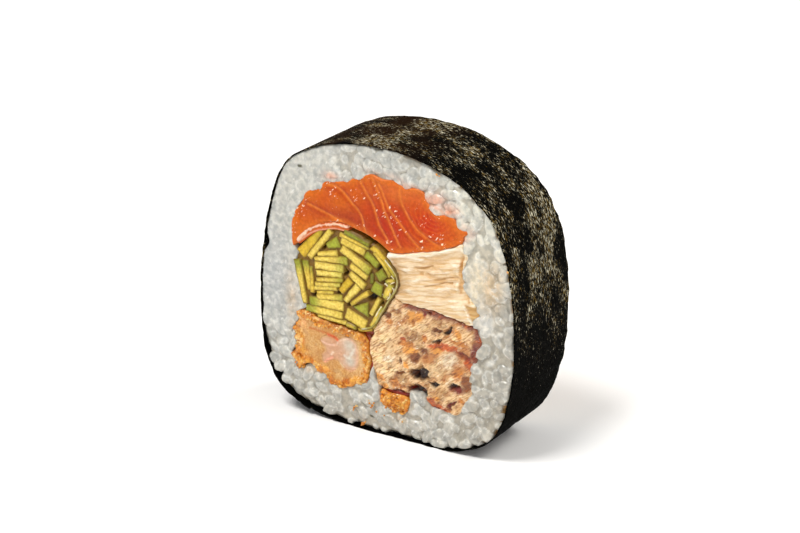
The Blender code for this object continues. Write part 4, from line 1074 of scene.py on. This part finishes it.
def rice_tint(x, z):
    """Rice colour with painted light and shade: grey-blue in shade at the left, darker towards the bottom and the lower
    right, lighter at the upper right; warm near the cheese and pink beside the salmon.
    """
    # Painted light and shade: darker towards the lower right and the bottom, lighter at the upper right, grey-blue in
    # shade at the left.
    tint = mix(rgb(204, 203, 196), rgb(188, 184, 174), ramp(x, 2.0, 20.0) * (1 - ramp(z, 26.0, 40.0)))
    tint = mix(tint, rgb(226, 224, 212), ramp(x, 8.0, 20.0) * ramp(z, 38.0, 46.0))
    tint = mix(tint, rgb(196, 193, 184), 1 - ramp(z, 3.0, 9.0))
    tint = mix(tint, rgb(190, 192, 192), 0.9 * ramp(-x, 20.0, 27.0) * bump(z, 30.0, 12.0))
    tint = mix(tint, rgb(224, 192, 146), 0.85 * blob(x, z, 25.0, 37.5, 2.6, 5.6))
    tint = mix(tint, rgb(240, 224, 194), 0.9 * blob(x, z, 21.4, 38.0, 2.0, 5.0))
    tint = mix(tint, rgb(236, 232, 224), 0.9 * blob(x, z, 23.8, 29.6, 2.2, 2.8))
    salmon_near = line_distance(x, z, SALMON_OUTLINE[7:24])
    pink = bump(salmon_near, 0.0, 1.2) * ramp(soft_noise(x, 0, z, 2.4, 201), -0.1, 0.6)
    spots = blob(x, z, 12.4, 53.4, 2.4, 1.9) + blob(x, z, 16.0, 52.0, 1.6, 1.2) + blob(x, z, -12.6, 54.2, 1.6, 0.8)
    tint = mix(tint, rgb(240, 172, 142), 0.6 * pink * ramp(x, -14.0, 12.0) + 0.75 * spots)
    tan = blob(x, z, -22.6, 26.0, 1.4, 6.0) + blob(x, z, -18.2, 10.4, 1.6, 1.0) + blob(x, z, 3.5, 4.4, 2.0, 0.8)
    tint = mix(tint, rgb(206, 170, 122), 0.5 * tan)
    return tint


def smear(x, z):
    """1 where the knife has smeared the rice flat: at the left, the top left and beside the cheese."""
    left = ramp(-x, 7.0, 17.0) * ramp(z, 12.0, 26.0)
    cream = 1 - ramp(np.hypot((x - 22.0) / 3.2, (z - 38.2) / 5.4), 0.75, 1.05)
    blot = 1 - ramp(np.hypot((x - 23.8) / 2.1, (z - 29.6) / 2.8), 0.75, 1.05)
    return np.clip(left + cream + blot, 0.0, 1.0)


def grain_field(x, z, rows, floor_depth):
    """How deep the fused grains lie at each place, the shade of the one that shows, and how far it leads."""
    best = floor_depth.copy()
    second = floor_depth + 0.5
    shade = np.ones(len(x))
    total = np.exp(-floor_depth / GRAIN_BLEND)
    for px, pz, half, turn, middle, tone in rows:
        near = np.where((np.abs(x - px) < half[0]) & (np.abs(z - pz) < half[0]))[0]
        form = turn @ np.diag(1 / np.array(half) ** 2) @ turn.T
        dx, dz = x[near] - px, z[near] - pz
        lean = form[0, 1] * dx + form[1, 2] * dz
        room = form[0, 0] * dx * dx + form[2, 2] * dz * dz + 2 * form[0, 2] * dx * dz - 1
        reach = lean * lean - form[1, 1] * room
        hit = reach > 0
        near = near[hit]
        depth = middle + (-lean[hit] - np.sqrt(reach[hit])) / form[1, 1]
        total[near] += np.exp(-depth / GRAIN_BLEND)
        front = depth < best[near]
        second[near] = np.where(front, best[near], np.minimum(second[near], depth))
        best[near] = np.where(front, depth, best[near])
        shade[near] = np.where(front, tone, shade[near])
    return -GRAIN_BLEND * np.log(total), shade, second - best


def rice_core_look(x, z, edge, side):
    lumps = soft_noise(x, 4 * side, z, 2.4, 211)
    flat = smear(x, z)
    near_sheet = loop_distance(x, z, [rice_loop])
    open_rim = (1 - ramp(near_sheet, 0.2, 0.9)) * (1 - flat)
    floor_depth = 0.75 + 0.2 * lumps + 0.5 * open_rim
    depth, shade, lead = grain_field(x, z, front_grains if side < 0 else back_grains, floor_depth)
    smooth = 0.3 + 0.14 * lumps + 0.1 * rough_noise(x, side, z, 1.2, 3, 215)
    depth = depth * (1 - 0.82 * flat) + smooth * 0.82 * flat
    knife = 0.1 + 0.08 * soft_noise(x, side, z, 3.0, 231)
    depth = 0.5 * (depth + knife + np.sqrt((depth - knife) ** 2 + 0.01))
    hollow = ramp(depth, floor_depth - 0.25, floor_depth - 0.02) * (1 - flat)
    tint = rice_tint(x, z) * (1 + (shade - 1) * (1 - 0.7 * flat))[:, None]
    # Painted light: bright white where two grains meet, as light glows through their thin rims.
    seam = bump(lead, 0.14, 0.12) * (1 - hollow)
    tint = mix(tint, rgb(250, 250, 246), (0.62 - 0.35 * flat) * seam)
    # Painted shade: grey in the hollows between grains.
    tint = mix(tint, rgb(168, 158, 138), 0.5 * hollow)
    # In the hollows beside the wrapper: amber at the right as painted light shining through, dark grey elsewhere as
    # painted shade.
    right = ramp(x + 0.3 * z, 18.0, 30.0)
    tint = mix(tint, rgb(196, 146, 78), 0.9 * ramp(hollow * open_rim, 0.2, 0.7) * right)
    tint = mix(tint, rgb(60, 58, 54), 0.8 * ramp(hollow * open_rim, 0.3, 0.8) * (1 - right))
    fleck = np.minimum(np.hypot(x + 3.0, (z - 3.3) * 1.8), np.hypot(x + 20.0, (z - 55.0) * 1.8))
    tint = mix(tint, rgb(86, 84, 56), (1 - ramp(fleck, 0.5, 0.75)) * (side < 0))
    return depth + rounded(edge, 0.22), tint


def ball(cuts):
    """The points and faces of a ball of radius 1."""
    import bmesh

    bm = bmesh.new()
    bmesh.ops.create_icosphere(bm, subdivisions=cuts, radius=1.0)
    points = np.array([v.co[:] for v in bm.verts])
    faces = np.array([[v.index for v in f.verts] for f in bm.faces])
    bm.free()
    return points, faces


def grain_turn(slant, tilt, roll):
    return Matrix.Rotation(-slant, 3, "Y") @ Matrix.Rotation(tilt, 3, "Z") @ Matrix.Rotation(roll, 3, "X")


def grain_rows(seed):
    """Grains set into one cut face of the rice: place, half sizes, turn, depth of the middle and shade."""
    chance = np.random.default_rng(seed)
    low, high = rice_loop.min(axis=0), rice_loop.max(axis=0)
    x, z = chance.uniform(low, high, (GRAIN_TRIES, 2)).T
    room = inside(inset(rice_loop, 0.5), x, z) & ~inside(rice_bed, x, z)
    rows = []
    for px, pz in zip(x[room], z[room]):
        if any((px - row[0]) ** 2 + (pz - row[1]) ** 2 < GRAIN_SPACING**2 for row in rows):
            continue
        width = GRAIN_WIDTH * chance.uniform(0.85, 1.1) / 2
        half = (GRAIN_LENGTH * chance.uniform(0.85, 1.1) / 2, width * 0.85, width)
        tilt = chance.normal(0.0, 0.45)
        slant, roll = chance.uniform(0, math.pi), chance.uniform(-0.5, 0.5)
        turn = np.array(grain_turn(slant, tilt, roll))
        reach = math.sqrt(np.sum((turn[1] * np.array(half)) ** 2))
        middle = reach + chance.uniform(-0.25, 0.5)
        rows.append((px, pz, half, turn, middle, chance.uniform(0.86, 1.08)))
    return rows


def make_grains(material):
    """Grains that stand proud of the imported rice, mostly along the wrapper and the salmon."""
    chance = np.random.default_rng(17)
    ball_points, ball_faces = ball(3)
    ways = inward(rice_loop)
    parts = []
    for side in (-1, 1):
        places = [(px, pz, 0.05) for px, pz in PROUD_GRAINS] if side < 0 else []
        ring = inset(rice_loop, 1.5)
        for index in chance.permutation(len(ring)):
            px, pz = ring[index]
            if side < 0 and px < -8 and pz > 12:
                continue
            if all(math.hypot(px - a, pz - b) > 4.6 for a, b, _ in places):
                places.append((px, pz, chance.uniform(0.15, 0.45)))
        for px, pz, sink in places:
            width = GRAIN_WIDTH * chance.uniform(0.8, 1.0) / 2
            length = GRAIN_LENGTH * chance.uniform(0.7, 0.95) / 2
            points = ball_points * np.array((length, width * 0.85, width))
            points[:, 2] += 0.2 * (ball_points[:, 0] ** 2 - 0.4) * chance.uniform(-1, 1)
            turn = grain_turn(chance.uniform(0, math.pi), chance.normal(0.0, 0.25), chance.uniform(-0.5, 0.5))
            points = points @ np.array(turn).T
            wobble = soft_noise(points[:, 0] + px, points[:, 1], points[:, 2] + pz, 1.5, 221)
            points *= (1 + 0.06 * wobble)[:, None]
            out_depth = points[:, 1].max() + sink
            points[:, 1] = points[:, 1] * -side
            rear = float(back_cut(np.array(pz)))
            points += np.array((px, FRONT_CUT + out_depth if side < 0 else rear - out_depth, pz))
            # A grain that would come through the wrapper is moved back inside it.
            nearest = np.argmin(np.hypot(rice_loop[:, 0] - px, rice_loop[:, 1] - pz))
            way = ways[nearest]
            past = (rice_loop[nearest] - points[:, [0, 2]]) @ way
            points[:, [0, 2]] += way * max(0.0, past.max() + 0.12)
            knife = 0.02 + 0.06 * soft_noise(points[:, 0], 0, points[:, 2], 3.0, 231)
            if side < 0:
                points[:, 1] = np.maximum(points[:, 1], FRONT_CUT + knife)
            else:
                points[:, 1] = np.minimum(points[:, 1], back_cut(points[:, 2]) - knife)
            # Brighter round each grain's sides: painted light glowing through its rim.
            rim = np.abs(ball_points[:, 1]) < 0.45
            shade = chance.uniform(0.94, 1.06) * np.where(rim, 1.1, 1.0)
            faces = ball_faces if side < 0 else ball_faces[:, ::-1]
            parts.append((points, faces, rice_tint(points[:, 0], points[:, 2]) * shade[:, None]))
    return new_piece("rice_grains", joined(parts), material, "rice")


def make_rice(material):
    core = cut_solid([rice_loop, rice_bed], 0.235, rice_core_look, seed=3)
    new_piece("rice_core", core, material, "rice", "rice")
    make_grains(material)


def stick_parts(row, index):
    """One piece of avocado that runs through the slice."""
    start_x, start_z, end_x, end_z, start_width, end_width, start_green, end_green, tone, bend = row
    length = math.hypot(end_x - start_x, end_z - start_z) + STICK_GROWTH
    start_width += STICK_GROWTH
    end_width += STICK_GROWTH
    turn = math.atan2(end_z - start_z, end_x - start_x)
    middle_x, middle_z = (start_x + end_x) / 2, (start_z + end_z) / 2
    chance = np.random.default_rng(300 + index)
    base = chance.uniform(0.05, 0.4)
    corner = min(0.14, start_width * 0.2, end_width * 0.2)
    half = length / 2
    outline = []
    quarter = ((1, 1, 0, end_width), (-1, 1, 90, start_width), (-1, -1, 180, start_width), (1, -1, 270, end_width))
    for corner_x, corner_z, start, width in quarter:
        for step in range(4):
            angle = math.radians(start + step * 30)
            outline.append((
                corner_x * (half - corner) + corner * math.cos(angle),
                corner_z * (width / 2 - corner) + corner * math.sin(angle),
            ))
    loop = resample(outline, 0.26, True)
    loop[:, 1] += bend * (loop[:, 0] ** 2 - half**2 / 3)
    loop = inset(loop, 0.07 * soft_noise(loop[:, 0], index, loop[:, 1], 0.9, 241))

    def look(u, v, edge, side):
        share = u / length + 0.5
        green = start_green * (1 - ramp(share, 0.05, 0.5)) + end_green * ramp(share, 0.5, 0.95)
        if start_green > 0.8 and end_green > 0.8:
            green = np.full(len(u), 1.0)
        green = green + 0.15 * soft_noise(u, index, v, 1.2, 251)
        yellow = mix(np.tile(rgb(250, 228, 118), (len(u), 1)), rgb(226, 192, 46), np.full(len(u), tone))
        grassy = mix(np.tile(rgb(168, 176, 46), (len(u), 1)), rgb(122, 130, 30), np.full(len(u), 0.8 * tone))
        tint = mix(yellow, grassy, green)
        # Darker towards each piece's edge: painted shade in the gaps between the pieces.
        tint = mix(tint, tint * rgb(216, 206, 150), 0.9 * (1 - ramp(edge, 0.1, 0.5)))
        tint = mix(tint, rgb(120, 92, 22), 0.7 * (1 - ramp(edge, 0.0, 0.14)))
        drawn = soft_noise(u / 4.0, index, v, 0.45, 255)
        relief = base + 0.06 * soft_noise(u, index, v, 0.9, 261) + 0.04 * drawn + rounded(edge, 0.12)
        return relief, tint * (1 - 0.06 * drawn)[:, None]

    points, faces, tints = cut_solid([loop], 0.34, look, rows=2, seed=index)
    u, v = points[:, 0].copy(), points[:, 2].copy()
    points[:, 0] = middle_x + u * math.cos(turn) - v * math.sin(turn)
    points[:, 2] = middle_z + u * math.sin(turn) + v * math.cos(turn)
    # The back end is laid out along the drifting back cut.
    behind = points[:, 1] > 5.0
    level = back_cut(v[behind])
    points[behind, 1] += back_cut(points[behind, 2]) - level
    return points, faces, tints


def strip_loop(path, left, right, step):
    """A band along a path: so far out on its left, and so far out on its right."""
    line = smooth_line(path, 0.4)
    way = np.gradient(line, axis=0)
    way /= np.linalg.norm(way, axis=1)[:, None]
    normal = np.stack([-way[:, 1], way[:, 0]], axis=1)
    return resample(np.vstack([line + normal * left, (line - normal * right)[::-1]]), step, True)


def film_look(x, z, edge, side):
    line = smooth_line(FILM_LINE, 0.3)
    reach = line_distance(x, z, line)
    shine = ramp(soft_noise(x, side, z, 2.6, 275), -0.6, 0.3)
    tint = np.tile(rgb(170, 160, 70), (len(x), 1))
    tint = mix(tint, rgb(255, 250, 236), 0.9 * shine * bump(reach, 0.3, 0.13))
    tint = mix(tint, rgb(104, 64, 24), 1 - ramp(reach, 0.02, 0.16))
    return 0.2 - 0.1 * shine * bump(reach, 0.3, 0.15), tint


def glint_scrap_look(x, z, edge, side):
    # Pale all over: painted highlights on the scraps of skin.
    return 0.12 + 0.1 * soft_noise(x, side, z, 0.8, 277) + rounded(edge, 0.1), np.tile(rgb(246, 238, 210), (len(x), 1))


def between_look(x, z, edge, side):
    hollow_shadow = np.zeros(len(x))
    for middle_x, middle_z, reach in AVOCADO_VOIDS:
        hollow_shadow = np.maximum(hollow_shadow, 1 - ramp(np.hypot(x - middle_x, z - middle_z), reach * 0.7, reach * 1.2))
    relief = 0.6 + 1.2 * hollow_shadow + 0.15 * soft_noise(x, side, z, 1.5, 271)
    # The backing is painted dark olive-brown as shade between the pieces, and near black as shadow in the hollows.
    return relief, mix(np.tile(rgb(132, 98, 26), (len(x), 1)), rgb(20, 13, 6), hollow_shadow)


def make_avocado(material):
    sticks = [stick_parts(row, index) for index, row in enumerate(AVOCADO_PIECES)]
    new_piece("avocado_sticks", joined(sticks), material, "avocado", "avocado")
    loop = inset(smooth_loop(AVOCADO_OUTLINE, 0.4), 0.1)
    new_piece("avocado_between", cut_solid([loop], 0.4, between_look, rows=2, seed=4), material, "avocado")
    parts = [cut_solid([strip_loop(FILM_LINE, 0.06, 0.42, 0.14)], 0.14, film_look, rows=2, seed=6)]
    for path in FILM_GLINT_SCRAPS:
        parts.append(cut_solid([strip_loop(path, 0.11, 0.11, 0.12)], 0.13, glint_scrap_look, rows=2, seed=7))
    new_piece("avocado_film", joined(parts), material, "avocado")


def make_sauce(material):
    parts = []
    for k, seam in enumerate(SAUCE_SEAMS):
        colour, path = seam[0], seam[1:]

        def look(x, z, edge, side):
            relief = SAUCE_RECESS + 0.25 * soft_noise(x, side, z, 2.0, 281 + k)
            return relief, np.tile(rgb(*colour), (len(x), 1))

        loop = strip_loop(path, SAUCE_WIDTH / 2, SAUCE_WIDTH / 2, 0.4)
        parts.append(cut_solid([loop], 0.5, look, rows=2, seed=k))
    new_piece("sauce", joined(parts), material, "eel")


def crumb_parts(places, sizes, chance, seed):
    """Small craggy lumps at these places."""
    ball_points, ball_faces = ball(2)
    parts = []
    for place, size in zip(places, sizes):
        stretch = chance.uniform(0.65, 1.25, 3)
        points = ball_points * stretch * size / 2
        shift = chance.uniform(0, 50, 3)
        crag = rough_noise(*(ball_points * 1.0 + shift).T, 0.8, 2, seed)
        points = points * (1 + 0.32 * crag)[:, None]
        points = points @ np.array(grain_turn(*chance.uniform(0, math.pi, 3))).T + place
        tint = crust_colour(*points.T, seed + 3) * chance.uniform(0.8, 1.15)
        parts.append((points, ball_faces, tint))
    return parts


def make_crumbs(material):
    """Crumbs that stand out of the fried coat's edge, and the loose ones beside it."""
    chance = np.random.default_rng(23)
    parts = []
    for side in (-1, 1):
        for loop, count, reach in ((batter_loop, 260, 1.7), (crumbs_loop, 90, 2.6)):
            picked = loop[chance.integers(0, len(loop), count)]
            ways = inward(loop)
            near = np.array([np.argmin(np.hypot(*(loop - p).T)) for p in picked])
            picked = picked + ways[near] * chance.uniform(0.25, reach, count)[:, None]
            rear = back_cut(picked[:, 1])
            depth = chance.uniform(0.1, 0.4, count)
            y = FRONT_CUT + 0.25 + depth if side < 0 else rear - 0.25 - depth
            places = np.stack([picked[:, 0], y, picked[:, 1]], axis=1)
            parts += crumb_parts(places, chance.uniform(0.3, 0.8, count), chance, 291)
    places = np.array([(px, FRONT_CUT + 0.1, pz) for px, pz, _ in LOOSE_CRUMBS])
    parts += crumb_parts(places, [size for _, _, size in LOOSE_CRUMBS], chance, 301)
    new_piece("fried_bits", joined(parts), material, "fried_crumbs")


def sheet_path():
    """The wrapper's outer side from its inner end, once round, and over its own start."""
    outline = roll_loop(0.5)
    x, z = outline[:, 0], outline[:, 1]
    on_left = np.where((x < 0) & (z < ROLL_MIDDLE[1]))[0]
    first = on_left[np.argmin(np.abs(z[on_left] - INNER_END_HEIGHT))]
    order = (first - np.arange(len(outline))) % len(outline)
    half = len(order) // 2
    corner = ramp(-x, -OUTER_END_X - TUCK_BLEND, -OUTER_END_X)
    corner = corner * (1 - ramp(z, INNER_END_HEIGHT, INNER_END_HEIGHT + TUCK_BLEND))
    tucked = outline + inward(outline) * (TUCK * corner)[:, None]
    lap = [i for i in order[:half] if outline[i, 0] < OUTER_END_X]
    return resample(np.vstack([tucked[order[:half]], outline[order[half:]], outline[lap]]), 0.55, False)


def make_nori(material):
    """One crinkled sheet of seaweed wound round the rice."""
    path = sheet_path()
    along = np.concatenate([[0.0], np.cumsum(np.linalg.norm(np.diff(path, axis=0), axis=1))])
    way = np.gradient(path, axis=0)
    way /= np.linalg.norm(way, axis=1)[:, None]
    # The path runs down the left side and along the bottom first, so its inside is on its left.
    normal = np.stack([-way[:, 1], way[:, 0]], axis=1)
    across_count = 44
    share = np.linspace(0.0, 1.0, across_count + 1)
    s, t = np.meshgrid(along, share, indexing="ij")
    px, pz = (np.repeat(path[:, k][:, None], across_count + 1, axis=1) for k in (0, 1))
    nx, nz = (np.repeat(normal[:, k][:, None], across_count + 1, axis=1) for k in (0, 1))
    ragged = 0.14 * rough_noise(s, 0.0, 0.0, 1.6, 3, 311)
    start = FRONT_CUT + 0.1 + ragged
    torn = ramp(px, 8.0, 20.0) * (1 - ramp(pz, 14.0, 24.0))
    end = back_cut(pz) - 0.05 + (0.2 + 0.15 * torn) * rough_noise(s, 9.0, 0.0, 1.8, 3, 321)
    end = end - 0.3 * torn * np.round(1.5 + 1.5 * rough_noise(s, 5.0, 0.0, 3.2, 2, 325))
    y = start + (end - start) * t
    crinkle = 0.14 * rough_noise(s, y * 0.8, 0.0, 2.6, 3, 331)
    resting = 1 - ramp(pz, 0.3, 3.0)
    crinkle = np.maximum(crinkle, 0.0) * (1 - resting)
    shapes = []
    for depth in (0.0, SHEET):
        move = crinkle + depth
        shapes.append(np.stack([px + nx * move, y, pz + nz * move], axis=2))
    rows, columns = s.shape
    points = np.vstack([shape.reshape(-1, 3) for shape in shapes])
    index = np.arange(rows * columns).reshape(rows, columns)
    a, b, c, d = index[:-1, :-1], index[1:, :-1], index[1:, 1:], index[:-1, 1:]
    quads = np.stack([a, d, c, b], axis=2).reshape(-1, 4)
    other = quads[:, ::-1] + rows * columns
    border = np.concatenate([index[:, 0], index[-1, 1:], index[-2::-1, -1], index[0, -2:0:-1]])
    following = np.roll(border, -1)
    rim = np.stack([border, following, following + rows * columns, border + rows * columns], axis=1)
    faces = np.vstack([quads, other, rim])
    faces = np.vstack([faces[:, [0, 1, 2]], faces[:, [0, 2, 3]]])
    # Painted sheen: the sheet is tinted brownish near the top left, where light from above falls on it.
    brown = ramp(pz, 52.0, 60.0) * ramp(-px, -12.0, 2.0) * ramp(soft_noise(s, y, 0.0, 3.0, 341), -0.9, 0.5)
    tint = mix(np.tile(rgb(4, 4, 3), (len(points), 1)), rgb(30, 17, 6), np.tile(brown.ravel(), 2))
    # Where pale specks show, painted highlights standing for glints on the crinkles: more higher up and towards the
    # right, where the light falls.
    patches = 0.7 + 0.5 * rough_noise(s / 1.8, y, 0.0, 2.6, 3, 351)
    zone = ramp(pz, 6.0, 40.0) * (0.85 + 0.2 * ramp(px, 8.0, 26.0))
    painted_sparkle = np.clip(patches * zone, 0.0, 1.0)
    piece = new_piece("nori_sheet", (points, faces, tint), material, "nori", "nori")
    place = piece.data.attributes.new("sheet_place", "FLOAT_VECTOR", "POINT")
    flat = np.stack([np.tile(s.ravel(), 2), np.tile(y.ravel(), 2), np.zeros(len(points))], axis=1)
    place.data.foreach_set("vector", flat.astype(np.float32).ravel())
    shine = piece.data.attributes.new("painted_sparkle", "FLOAT", "POINT")
    shine.data.foreach_set("value", np.tile(painted_sparkle.ravel(), 2).astype(np.float32))
    return piece


# The camera, the floor and the light.


def make_camera():
    azimuth = math.radians(VIEW_AZIMUTH)
    elevation = math.radians(VIEW_ELEVATION)
    back = Vector((
        math.sin(azimuth) * math.cos(elevation),
        -math.cos(azimuth) * math.cos(elevation),
        math.sin(elevation),
    ))
    data = bpy.data.cameras.new("camera")
    data.lens = LENS
    data.clip_start = 0.01
    data.clip_end = 20.0
    camera = bpy.data.objects.new("camera", data)
    camera.location = (Vector(VIEW_TARGET) + back * VIEW_DISTANCE) * MM
    camera.rotation_mode = "QUATERNION"
    camera.rotation_quaternion = (-back).to_track_quat("-Z", "Y")
    bpy.context.scene.collection.objects.link(camera)
    bpy.context.scene.camera = camera


def make_light(name, place, size, power, colour):
    """A soft square light in metres, turned to the middle of the roll."""
    data = bpy.data.lights.new(name, "AREA")
    data.shape = "SQUARE"
    data.size = size
    data.energy = power
    data.color = colour
    light = bpy.data.objects.new(name, data)
    light.location = place
    aim = Vector((0.0, 0.0, 0.03)) - Vector(place)
    light.rotation_mode = "QUATERNION"
    light.rotation_quaternion = aim.to_track_quat("-Z", "Y")
    bpy.context.scene.collection.objects.link(light)


def make_stage():
    mesh = bpy.data.meshes.new("floor")
    reach = 6.0
    mesh.from_pydata([(-reach, -reach, 0), (reach, -reach, 0), (reach, reach, 0), (-reach, reach, 0)], [], [(0, 1, 2, 3)])
    nodes = Nodes("floor")
    nodes.set(Base_Color=(0.97, 0.97, 0.97, 1.0), Roughness=0.8, Specular_IOR_Level=0.2)
    mesh.materials.append(nodes.material)
    floor = bpy.data.objects.new("floor", mesh)
    bpy.context.scene.collection.objects.link(floor)
    world = bpy.data.worlds.new("studio")
    world.use_nodes = True
    background = world.node_tree.nodes["Background"]
    background.inputs["Color"].default_value = (1.0, 1.0, 1.0, 1.0)
    background.inputs["Strength"].default_value = 0.36
    bpy.context.scene.world = world
    make_light("key", (-0.25, -0.45, 1.05), 0.4, 11.0, (1.0, 0.98, 0.95))
    make_light("fill", (0.9, -0.7, 0.45), 0.6, 2.0, (1.0, 0.95, 0.88))
    make_light("rim", (0.45, 0.75, 0.75), 0.4, 7.0, (1.0, 0.97, 0.92))


bpy.context.scene.view_settings.view_transform = "Standard"
make_camera()
make_stage()

avocado_loop = filling_loop(AVOCADO_OUTLINE, 0.25)
salmon_loop = snug_loop(filling_loop(SALMON_OUTLINE, 0.22), [avocado_loop])
eel_loop = ragged_loop(snug_loop(filling_loop(EEL_OUTLINE, 0.22), [avocado_loop]), 1.6, 0.12, 401)
cheese_loop = snug_loop(filling_loop(CHEESE_OUTLINE, 0.22), [salmon_loop, avocado_loop, eel_loop])
cheese_loop = ragged_loop(cheese_loop, 1.2, 0.12, 405)
prawn_loop = smooth_loop(PRAWN_OUTLINE, 0.25)
batter_loop = ragged_loop(filling_loop(BATTER_OUTLINE, 0.22), 1.3, 0.2, 411)
crumbs_loop = ragged_loop(filling_loop(CRUMBS_OUTLINE, 0.22), 1.3, 0.2, 421)
outer_loop = roll_loop(0.3)
rice_loop = inset(outer_loop, rice_depth(outer_loop))
rice_bed = bed_loop([salmon_loop, cheese_loop, avocado_loop, eel_loop, batter_loop, crumbs_loop], 0.6)
front_grains = grain_rows(31)
back_grains = grain_rows(32)

make_nori(nori_material())
make_rice(rice_material())
salmon = salmon_material()
new_piece("salmon_slice", cut_solid([salmon_loop], 0.2, salmon_look), salmon, "salmon", "salmon")
edge_loop = strip_loop(MEMBRANE_LINE, 0.45, 1.25, 0.25)
new_piece("salmon_edge", cut_solid([edge_loop], 0.2, membrane_look, rows=2), salmon, "salmon")
new_piece("cheese_block", cut_solid([cheese_loop], 0.22, cheese_look), cheese_material(), "cream_cheese", "cream_cheese")
make_avocado(avocado_material())
fried = fried_material("fried_batter")
batter = cut_solid([batter_loop, inset(prawn_loop, -0.02)], 0.22, batter_look)
new_piece("batter_coat", batter, fried, "fried_batter", "tempura_batter")
new_piece("prawn_flesh", cut_solid([prawn_loop], 0.24, prawn_look), prawn_material(), "prawn", "prawn")
new_piece("eel_flesh", cut_solid([eel_loop], 0.2, eel_look), eel_material(), "eel", "eel")
new_piece("crumb_strand", cut_solid([crumbs_loop], 0.26, strand_look), fried, "fried_crumbs", "batter_crumbs")
make_crumbs(fried)
make_sauce(sauce_material())
